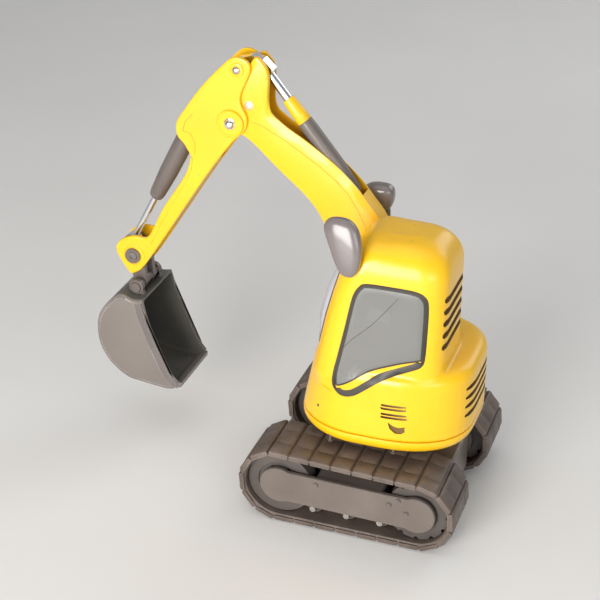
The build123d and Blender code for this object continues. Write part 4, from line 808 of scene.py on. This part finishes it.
SHIELD_LINE = ((-2.0, 178.0), (14.0, 179.0), (29.0, 177.0), (34.5, 168.0), (36.5, 140.0),
               (35.5, 124.0), (30.0, 117.5), (4.0, 116.5), (-4.5, 121.0), (-5.5, 145.0),
               (-5.0, 170.0))
SCRATCH = ((-8.9, 125.1), (-4.1, 131.5), (2.0, 137.3), (8.0, 143.1), (13.9, 150.2),
           (19.7, 157.8), (23.7, 163.1))


def sill_width(depth):
    """Inset of the left window's seal, which is wider along the sloping sill."""
    return lambda p: depth * (2.3 if p.y < 96.5 + 0.47 * (p.x + 12.0) else 1.0)


def left_window():
    """Pane, seals and the fine dark line across the pane, on the cab's left side."""
    outer = ((-0.2, -0.6), (-0.2, 0.2), (0.25, 0.55), (sill_width(1.45), 0.55),
             (sill_width(1.8), 0.2), (sill_width(1.8), -0.6))
    border = ((-0.6, -0.6), (-0.5, 0.35), (0.5, 0.45), (0.6, -0.6))
    glass = curve_closed(PANE, 3)
    shares = (0.985, 0.85, 0.7, 0.55, 0.4, 0.25, 0.1, 0.02)
    rings = [[on_side(p, 0.1) for p in glass]]
    rings += pane_rings(glass, Vector((16.0, 140.0)), shares, on_side)
    pane = new_object("pane", *skin(rings), GLASS)
    seals = [seal_loop(curve_closed(WINDOW, 3), outer, on_side),
             seal_loop(glass, border, on_side),
             ribbon("line", SCRATCH, 0.34, (0.2, 0.42), SEAL, on_side)]
    return pane, seals


def right_window():
    """Pane and seal on the cab's right side, facing the boom."""
    outline = curve_closed(RIGHT_WINDOW, 3)
    shares = (0.94, 0.8, 0.65, 0.5, 0.35, 0.2, 0.08, 0.02)
    rings = [[on_inner_side(p, 0.1) for p in inset(outline, 1.6)]]
    rings += pane_rings(outline, Vector((6.0, 143.0)), shares, on_inner_side)
    pane = new_object("pane", *skin(rings), GLASS)
    section = ((0.0, -0.5), (0.3, 0.3), (1.8, 0.3), (2.0, -0.5))
    return pane, seal_loop(outline, section, on_inner_side)


def make_windshield():
    """Bulging windshield, pale with a painted reflection; returns its seal."""
    outline = curve_closed(SHIELD_LINE, 4)
    heart = Vector((14.5, 148.0))
    rings = []
    for near, share in ((0.965, 0.05), (0.93, 0.3), (0.85, 0.6), (0.7, 0.85), (0.5, 0.96),
                        (0.3, 1.0), (0.1, 1.0), (0.02, 1.0)):
        ring = []
        for edge in outline:
            p = heart.lerp(edge, near)
            swell = max(0.0, math.sin(math.pi * (p.y - 112.0) / 72.0))
            ring.append(on_front(p, 0.3 + share * (0.6 + 4.0 * swell)))
        rings.append(ring)
    glass = new_object("windshield_glass", *skin(rings), WINDSHIELD_REFLECTION)
    put(glass, "house", "window_plastic", "windshield")
    section = ((-0.2, -0.6), (0.1, 0.45), (1.3, 0.5), (1.5, -0.6))
    return seal_loop(outline, section, on_front)


def make_windows():
    """Both side windows, the windshield and all their seals."""
    left_pane, seals = left_window()
    right_pane, right_seal = right_window()
    seals += [right_seal, make_windshield()]
    put(join("window_panes", [left_pane, right_pane]), "house", "window_plastic", "side_windows")
    put(join("window_rubbers", seals), "house", "seal_rubber", "window_seals")


make_windows()


def make_mirror(name, centre, sections, tilt, node, stalk):
    """Mirror head through (height, half width, thickness, shift) sections, on a flared post."""
    rings = []
    for height, half, thick, shift in sections:
        ring = []
        for k in range(28):
            a = 2 * math.pi * k / 28
            c, s = math.cos(a), math.sin(a)
            ring.append(Vector((thick * math.copysign(abs(c) ** 0.55, c),
                                shift + half * math.copysign(abs(s) ** 0.9, s), height)))
        rings.append(ring)
    turn = Matrix.Rotation(math.radians(tilt), 4, "Y")
    rings = [[(turn @ p + Vector(centre)) * MM for p in ring] for ring in rings]
    head = new_object("head", *skin(rings), MIRROR)
    soft = head.modifiers.new("soft", "SUBSURF")
    soft.levels = 2
    apply_modifiers(head)
    tidy_mesh(head, 60.0)
    start, end, radius = stalk
    axis = Vector(end) - Vector(start)
    post = lathe("post", start, axis, ((0, radius * 1.5), (1.5, radius * 1.1), (3.0, radius),
                                       (axis.length, radius)), GREY, 20)
    whole = join(name, [head, post])
    put(whole, "house", "grey_plastic", node)


make_mirror("left_mirror_head", (43.5, -11.3, 192.0),
            ((-18.2, 2.6, 1.4, 5.2), (-15.0, 5.6, 2.8, 5.0), (-9.6, 8.2, 4.0, 4.4),
             (0.6, 10.4, 4.8, 2.4), (8.0, 11.2, 5.0, -0.4), (13.0, 10.2, 4.6, -1.8),
             (17.6, 5.4, 2.8, -2.6)), -12, "left_mirror",
            ((36.0, -6.0, 182.0), (42.5, -10.5, 188.0), 2.2))
make_mirror("right_mirror_head", (-41.0, -14.6, 187.2),
            ((-9.6, 4.6, 3.0, 0.6), (-7.0, 9.0, 5.0, -0.6), (-2.0, 12.4, 6.4, -2.2),
             (2.0, 12.2, 6.6, -1.6), (6.0, 9.8, 6.0, 0.4), (9.4, 5.4, 3.6, 1.8)), 6,
            "right_mirror", ((-42.3, -6.0, 111.0), (-41.8, -9.0, 182.0), 1.8))


# ---------------- boom
BOOM = ((-94, 226), (-72, 207), (-52.3, 189.8), (-41.6, 173.3), (-33, 148), (-14, 114), (-4, 99),
        (6, 96), (14.5, 101), (16, 126), (9, 148), (-3, 178), (-12.5, 192), (-28.5, 209.8),
        (-49.4, 225.7), (-69.6, 238), (-78.3, 247), (-78.3, 268), (-82, 276), (-88, 278.4),
        (-97, 262), (-111, 243), (-112.2, 233), (-106, 226.5))
BACK_EDGE = ((12.5, 140.0), (9, 148), (-3, 178), (-12.5, 192), (-28.5, 209.8), (-49.4, 225.7),
             (-69.6, 238), (-78.3, 247))
DENSE_BACK = [Vector(a).lerp(Vector(b), t / 6) for a, b in zip(BACK_EDGE, BACK_EDGE[1:])
              for t in range(6)]
SLOT_LINE = ((-16.5, 199.0), (-28.0, 213.0), (-49.4, 231.0), (-66.0, 247.0), (-70.0, 300.0),
             (-120.0, 300.0), (-118.0, 262.0), (-101.0, 240.5), (-86.0, 243.0),
             (-72.0, 232.0), (-53.0, 213.0), (-38.0, 199.0), (-30.0, 192.5), (-22.0, 192.5))
CREASE = ((-89.4, 237.1), (-82.8, 235.4), (-71.1, 229.6), (-58.0, 222.0), (-44.9, 213.6),
          (-35.1, 206.4), (-26.6, 198.0), (-20.0, 188.0), (-14.0, 176.0))


def back_amount(point, wide):
    """Extra inset along the boom's back, where its flange is chamfered."""
    near = min((point - p).length for p in DENSE_BACK)
    share = max(0.0, 1.0 - near / 3.5)
    ends = min(1.0, max(0.0, (point.x + 86.0) / 10.0), max(0.0, (16.0 - point.x) / 8.0))
    return wide * share * ends


def arm_slab(name, outline, offsets, mat):
    """Plate of the arm with a side outline, between offsets from the middle plane."""
    rings = [[arm_point(w, Vector(p)) for p in outline] for w in offsets]
    return new_object(name, *skin(rings), mat)


def arm_lathe(name, sign, offset, centre, profile, mat):
    """Turned piece on one side of the arm, at (y, z), pointing outwards."""
    return lathe(name, (ARM_X + sign * offset, *centre), (sign, 0, 0), profile, mat)


def boom_body():
    """Boom with its chamfered back flange and the slot for the cylinder."""
    sections = ((-8.0, 1.5, 6.2), (-7.7, 0.7, 5.0), (-6.4, 0.1, 0.4), (0.0, 0.0, 0.0),
                (6.4, 0.1, 0.4), (7.7, 0.7, 5.0), (8.0, 1.5, 6.2))
    levels = [(w, lambda p, e=edge, f=flange: e + back_amount(p, f))
              for w, edge, flange in sections]
    body = new_object("boom_body", *skin(arm_rings(curve_closed(BOOM, 5), levels)), YELLOW)
    # the slot's cut faces take the darker yellow: painted shade inside the slot
    cut(body, arm_slab("slot", SLOT_LINE, (-5.3, 5.3), DARK), YELLOW_SHADE)
    return body


def make_boom():
    """Boom body with its foot bosses, cylinder screws and creases, the creases in painted shade.
    """
    boss = ((0, 6.6), (0.9, 6.6), (1.3, 6.1), (1.3, 2.8), (0.7, 2.6))
    screw = ((0, 3.0), (0.5, 2.9), (0.6, 2.5), (0.25, 2.2), (0.55, 1.9), (0.6, 1.0))
    parts = [boom_body()]
    for sign in (1, -1):
        parts.append(arm_lathe("boss", sign, 7.6, BOOM_FOOT, boss, YELLOW))
        parts.append(arm_lathe("screw", sign, 7.6, CYLINDER_SCREW, screw, STEEL))
        # creases: low raised strips in the darker yellow, painted shade
        parts.append(ribbon("crease", CREASE, 0.8, (7.8, 8.16), YELLOW_SHADE, on_cheek(sign)))
    put(join("boom_shell", parts), "boom", "yellow_plastic", "boom_left_half",
        "boom_right_half", "arm_cylinder_pin")


make_boom()


# ---------------- stick
STICK = ((-99.6, 278.4), (-107, 273), (-122.1, 256.5), (-133.9, 240.2), (-139.6, 231.0),
         (-139.6, 222.5), (-135.0, 217.0), (-130.5, 209.4), (-135, 195.7), (-151.3, 170.2),
         (-161.5, 150.0), (-166.5, 145.6), (-173.0, 146.0), (-179.8, 143.8), (-185.6, 139.6),
         (-187.5, 134.0), (-184.4, 126.6), (-178.5, 118.2), (-174.5, 118.6), (-166.9, 125.5),
         (-147.4, 155.2), (-119.9, 197.9), (-103, 221.5), (-93.8, 231.0), (-92.0, 240.0),
         (-96.4, 252.0), (-89.4, 270.0), (-91.4, 276.6))
# (distance from the arm's middle plane, inset) of the cheek's faces and rounded outer edge
CHEEK = ((8.3, 0.2), (8.3, 0.0), (9.6, 0.0), (10.15, 0.25), (10.45, 0.8), (10.5, 1.6))
CHEEK_RIM = ((-161.7, 142.6), (-160.3, 146.0), (-152.2, 162.0), (-144.4, 175.5),
             (-135.2, 191.2), (-130.9, 200.5), (-129.7, 208.4))
HOOKS = (((-135.4, 226.0), (-133.4, 232.6), (-128.4, 238.0)),
         ((-135.1, 226.0), (-130.3, 225.0), (-127.4, 219.0), (-127.6, 211.0)))
WEB = ((-131.0, 206.5), (-134.4, 195.7), (-150.6, 170.2), (-160.8, 150), (-151.6, 150),
       (-148.0, 155.2), (-120.5, 197.9), (-114.6, 206.5))


def stick_boss(sign, centre, radius, rise):
    """Raised ring round one of the stick's pivots."""
    profile = ((-0.3, radius), (rise * 0.7, radius), (rise, radius - 0.6), (rise, radius - 1.6),
               (rise - 0.35, radius - 1.9), (rise - 0.35, radius * 0.5))
    return arm_lathe("boss", sign, 10.5, centre, profile, YELLOW)


def stick_side(sign, outline):
    """One cheek of the stick with its rim, hook marks of painted shade and bosses."""
    place = on_cheek(sign)
    parts = [new_object("cheek", *skin(arm_rings(outline, CHEEK, sign)), YELLOW),
             ribbon("rim", CHEEK_RIM, 1.6, (10.3, 11.1), YELLOW, place)]
    # hook marks: strips of painted shade in the darker yellow
    for hook in HOOKS:
        parts.append(ribbon("hook", hook, 0.9, (10.3, 10.75), YELLOW_SHADE, place))
    for centre, radius, rise in ((STICK_HINGE, 8.9, 1.6), (STICK_TOP_PIN, 4.6, 0.9),
                                 (BUCKET_HINGE, 8.2, 0.5)):
        parts.append(stick_boss(sign, centre, radius, rise))
    return parts


def make_stick():
    """Two cheeks joined by a box below the head, with their domed and stepped bolts."""
    outline = curve_closed(STICK, 4, (7,))
    parts = stick_side(1, outline) + stick_side(-1, outline)
    # web in the darker yellow: painted shade between the cheeks
    parts.append(arm_slab("web", WEB, (-8.4, 8.4), YELLOW_SHADE))
    put(join("stick_shell", parts), "stick", "yellow_plastic", "stick_left_half",
        "stick_right_half")

    dome = ((0, 3.9), (0.7, 3.8), (0.9, 3.3), (1.8, 3.0), (2.7, 2.2), (3.1, 1.1), (3.2, 0.3))
    domes = [arm_lathe("dome", sign, 11.4, STICK_HINGE, dome, CHROME) for sign in (1, -1)]
    put(join("hinge_domes", domes), "stick", "steel", "stick_pins")

    stud = ((0, 2.4), (0.8, 2.3), (1.4, 1.5), (1.6, 0.6), (1.6, 0.1))
    stub = ((0, 1.5), (0.15, 1.5), (0.2, 1.2))
    cap = ((0, 5.5), (1.5, 5.4), (1.9, 4.9), (1.9, 3.5), (2.8, 3.2), (3.0, 2.6), (3.0, 1.2),
           (2.4, 1.0))
    bolts = []
    for sign in (1, -1):
        bolts.append(arm_lathe("stud", sign, 10.9, STICK_TOP_PIN, stud, STEEL))
        bolts.append(arm_lathe("stud", -sign, -8.3, STICK_TOP_PIN, stub, STEEL))
        bolts.append(arm_lathe("cap", sign, 10.4, BUCKET_HINGE, cap, GREY))
    put(join("end_bolts", bolts), "stick", "steel", "stick_bolts")


make_stick()


# ---------------- bucket
# Side outlines: the bucket's outside, and its hollow, which runs out through the mouth.
BUCKET_LINE = ((-171.2, 105.6), (-178.1, 108.2), (-183.8, 106.0), (-191.5, 97.8),
               (-196.7, 89.4), (-198.5, 80.2), (-197.8, 69.0), (-194.1, 59.9), (-187.5, 51.4),
               (-177, 44.3), (-166.3, 42.4), (-155.6, 41.2), (-145.0, 41.0), (-139, 46.5),
               (-145.0, 53.0), (-154, 74), (-160.1, 90.5), (-163.6, 106.5))
BUCKET_HOLLOW = ((-172.0, 103.2), (-178.0, 105.6), (-182.4, 103.4), (-189.4, 96.2),
                 (-194.1, 88.4), (-195.9, 80.2), (-195.2, 69.8), (-191.8, 61.4), (-185.8, 53.8),
                 (-176.1, 47.0), (-166.0, 45.0), (-155.4, 43.7), (-143.0, 43.4),
                 (-130.0, 46.0), (-125, 60), (-138, 112), (-160.0, 106.0))
MOUTH = ((-142.2, 45.0), (-148.4, 53.0), (-157.5, 74.0), (-163.6, 90.4), (-167.0, 103.9))
LUG = ((0, 5.2), (2.9, 5.2), (3.3, 4.7), (3.3, 3.9), (2.9, 3.7), (2.9, 2.0))
EAR_FOOT = ((-178.4, 104.4), (-165.6, 104.0), (-167.6, 109.0), (-169.5, 114.6),
            (-174.5, 114.6), (-176.8, 109.5))
LIP = ((-138.4, 43.4), (-138.0, 46.6), (-141.5, 46.0), (-144.5, 44.6), (-146.0, 42.6),
       (-142.0, 41.8))
BUCKET_HALF, HOLLOW_HALF = 25.0, 22.7
DARK_TOP_Z = 98.5


def bucket_body(outline):
    """Bucket shell, hollowed, with its inside and the plate between the ears dark."""
    rings = arm_rings(outline, round_levels(BUCKET_HALF, 2.2))
    shell = new_object("bucket_body", *skin(rings), BUCKET)
    hollow = curve_closed(BUCKET_HOLLOW, 3, (13, 14, 15))
    rings = arm_rings(hollow, round_levels(HOLLOW_HALF, 2.0, 3))
    cut(shell, new_object("hollow", *skin(rings), CHARCOAL), CHARCOAL)
    dark = shell.data.materials.find("bucket_inside")
    for face in shell.data.polygons:
        if face.center.z > DARK_TOP_Z * MM and abs(face.center.x / MM - ARM_X) < 23.0:
            face.material_index = dark
    return shell


def make_bucket():
    """Bucket shell with mouth strips, rolled rims, ringed ears and a lip."""
    outline = curve_closed(BUCKET_LINE, 4, (13, 17))
    parts = [bucket_body(outline)]
    for sign in (1, -1):
        place = on_cheek(sign)
        # mouth strips in the darker edge grey: painted shade of the angled front edge
        parts.append(ribbon("strip", MOUTH, 6.8, (24.4, 25.7), BUCKET_EDGE_SHADE, place))
        back = inset(outline, 1.7)[2:50]
        parts.append(ribbon("rim", back, 1.5, (24.2, 25.35), BUCKET_EDGE_SHADE, place))
        parts.append(arm_lathe("lug", sign, 12.25, BUCKET_EAR, LUG, GREY))
        parts.append(arm_slab("ear", EAR_FOOT, (sign * 12.25, sign * 14.9), GREY))
    parts.append(arm_slab("lip", LIP, (-22.9, 22.9), BUCKET_EDGE_SHADE))
    put(join("bucket_shell", parts), "bucket", "bucket_grey", "bucket")


make_bucket()


# ---------------- cylinders
# Foot (y, z) and direction of each cylinder.
ARM_FOOT, ARM_AXIS = (-25.0, 199.0), (-0.632, 0.775)
BUCKET_FOOT, BUCKET_AXIS = (-134.7, 222.7), (-0.4654, -0.8851)


def tube(name, foot, direction, distance, profile, mat):
    """Turned piece on a cylinder's axis, starting at a distance from the cylinder's foot."""
    start = (ARM_X, foot[0] + direction[0] * distance, foot[1] + direction[1] * distance)
    return lathe(name, start, (0, *direction), profile, mat, 36)


def make_cylinders():
    """Both barrels and the arm cylinder's yellow sleeve."""
    profile = ((0, 1.2), (0.6, 2.6), (3.0, 4.0), (16.0, 4.9), (26.0, 5.15), (50.0, 5.15),
               (55.4, 4.9), (56.0, 4.4), (56.0, 2.9))
    barrel = tube("arm_barrel_tube", ARM_FOOT, ARM_AXIS, -4.0, profile, GREY)
    put(barrel, "arm_barrel", "grey_plastic", "arm_barrel", "arm_lead_screw")

    profile = ((0, 4.4), (0.6, 4.75), (6.0, 4.65), (14.0, 4.2), (17.0, 3.9), (17.4, 3.4),
               (17.4, 2.9))
    sleeve = tube("arm_sleeve_tube", ARM_FOOT, ARM_AXIS, 51.6, profile, YELLOW)
    put(sleeve, "arm_barrel", "yellow_plastic", "arm_sleeve")

    profile = ((0, 1.6), (1.0, 3.8), (4.0, 5.8), (9.0, 6.4), (40.0, 6.15), (58.0, 5.2),
               (61.0, 4.6), (62.0, 3.6), (62.0, 2.3))
    barrel = tube("bucket_barrel_tube", BUCKET_FOOT, BUCKET_AXIS, -5.0, profile, GREY)
    put(barrel, "bucket_barrel", "grey_plastic", "bucket_barrel", "bucket_lead_screw")


make_cylinders()


# ---------------- stage
def make_floor():
    """Pale floor that sweeps up behind the object, in metres."""
    mat = surface("pale_floor", (0.80, 0.79, 0.77), (0.84, 0.83, 0.81), (0.84, 0.83, 0.81),
                  (0.8, 0.79, 0.77), rough=(0.5, 0.62), bump=0.05, scale=3.0)
    half_width, sweep_start, sweep = 3.0, 1.6, 0.6
    angles = [math.pi / 2 * k / 12 for k in range(13)]
    curve = [(sweep_start + sweep * math.sin(a), sweep - sweep * math.cos(a)) for a in angles]
    steps = [(-2.2, 0.0)] + curve + [(sweep_start + sweep, 3.0)]
    verts, faces = [], []
    for along, up in steps:
        verts += [(-along, half_width, up), (-along, -half_width, up)]
    for k in range(len(steps) - 1):
        faces.append((2 * k, 2 * k + 1, 2 * k + 3, 2 * k + 2))
    new_object("floor", verts, faces, mat)


MIDDLE = (-0.03, -0.04, 0.11)


def make_light(name, place, size, power, colour=(1, 1, 1)):
    """Area light aimed at the object's middle, in metres and watts."""
    data = bpy.data.lights.new(name, "AREA")
    data.shape = "RECTANGLE"
    data.size, data.size_y = size
    data.energy = power
    data.color = colour
    lamp = link(name, data)
    lamp.location = place
    lamp.rotation_euler = (Vector(MIDDLE) - Vector(place)).to_track_quat("-Z", "Y").to_euler()


def make_world():
    """Even, slightly cool light from all round."""
    world = bpy.data.worlds.new("studio")
    bpy.context.scene.world = world
    world.use_nodes = True
    background = world.node_tree.nodes["Background"]
    background.inputs["Color"].default_value = (0.9, 0.92, 0.95, 1.0)
    background.inputs["Strength"].default_value = 0.36
    bpy.context.scene.view_settings.view_transform = "Standard"


def make_camera(place, target):
    """Long lens looking from the photographed side."""
    data = bpy.data.cameras.new("camera")
    data.lens = 90.0
    data.sensor_width = 36.0
    data.clip_start = 0.05
    camera = link("camera", data)
    camera.location = Vector(place) * MM
    aim = Vector(target) * MM - camera.location
    camera.rotation_euler = aim.to_track_quat("-Z", "Y").to_euler()
    bpy.context.scene.camera = camera


make_floor()
make_light("key", (1.35, -0.25, 0.42), (0.7, 0.7), 21.0, (1.0, 0.97, 0.93))
make_light("side_fill", (1.2, 0.95, 0.5), (0.9, 0.7), 6.0, (0.95, 0.97, 1.0))
make_light("top", (0.1, -0.1, 1.5), (1.2, 1.2), 3.0)
make_light("back", (-1.1, 0.6, 0.9), (0.8, 0.8), 4.0)
make_world()
make_camera((787.6, 231.9, 584.0), (-39.0, -67.0, 103.6))
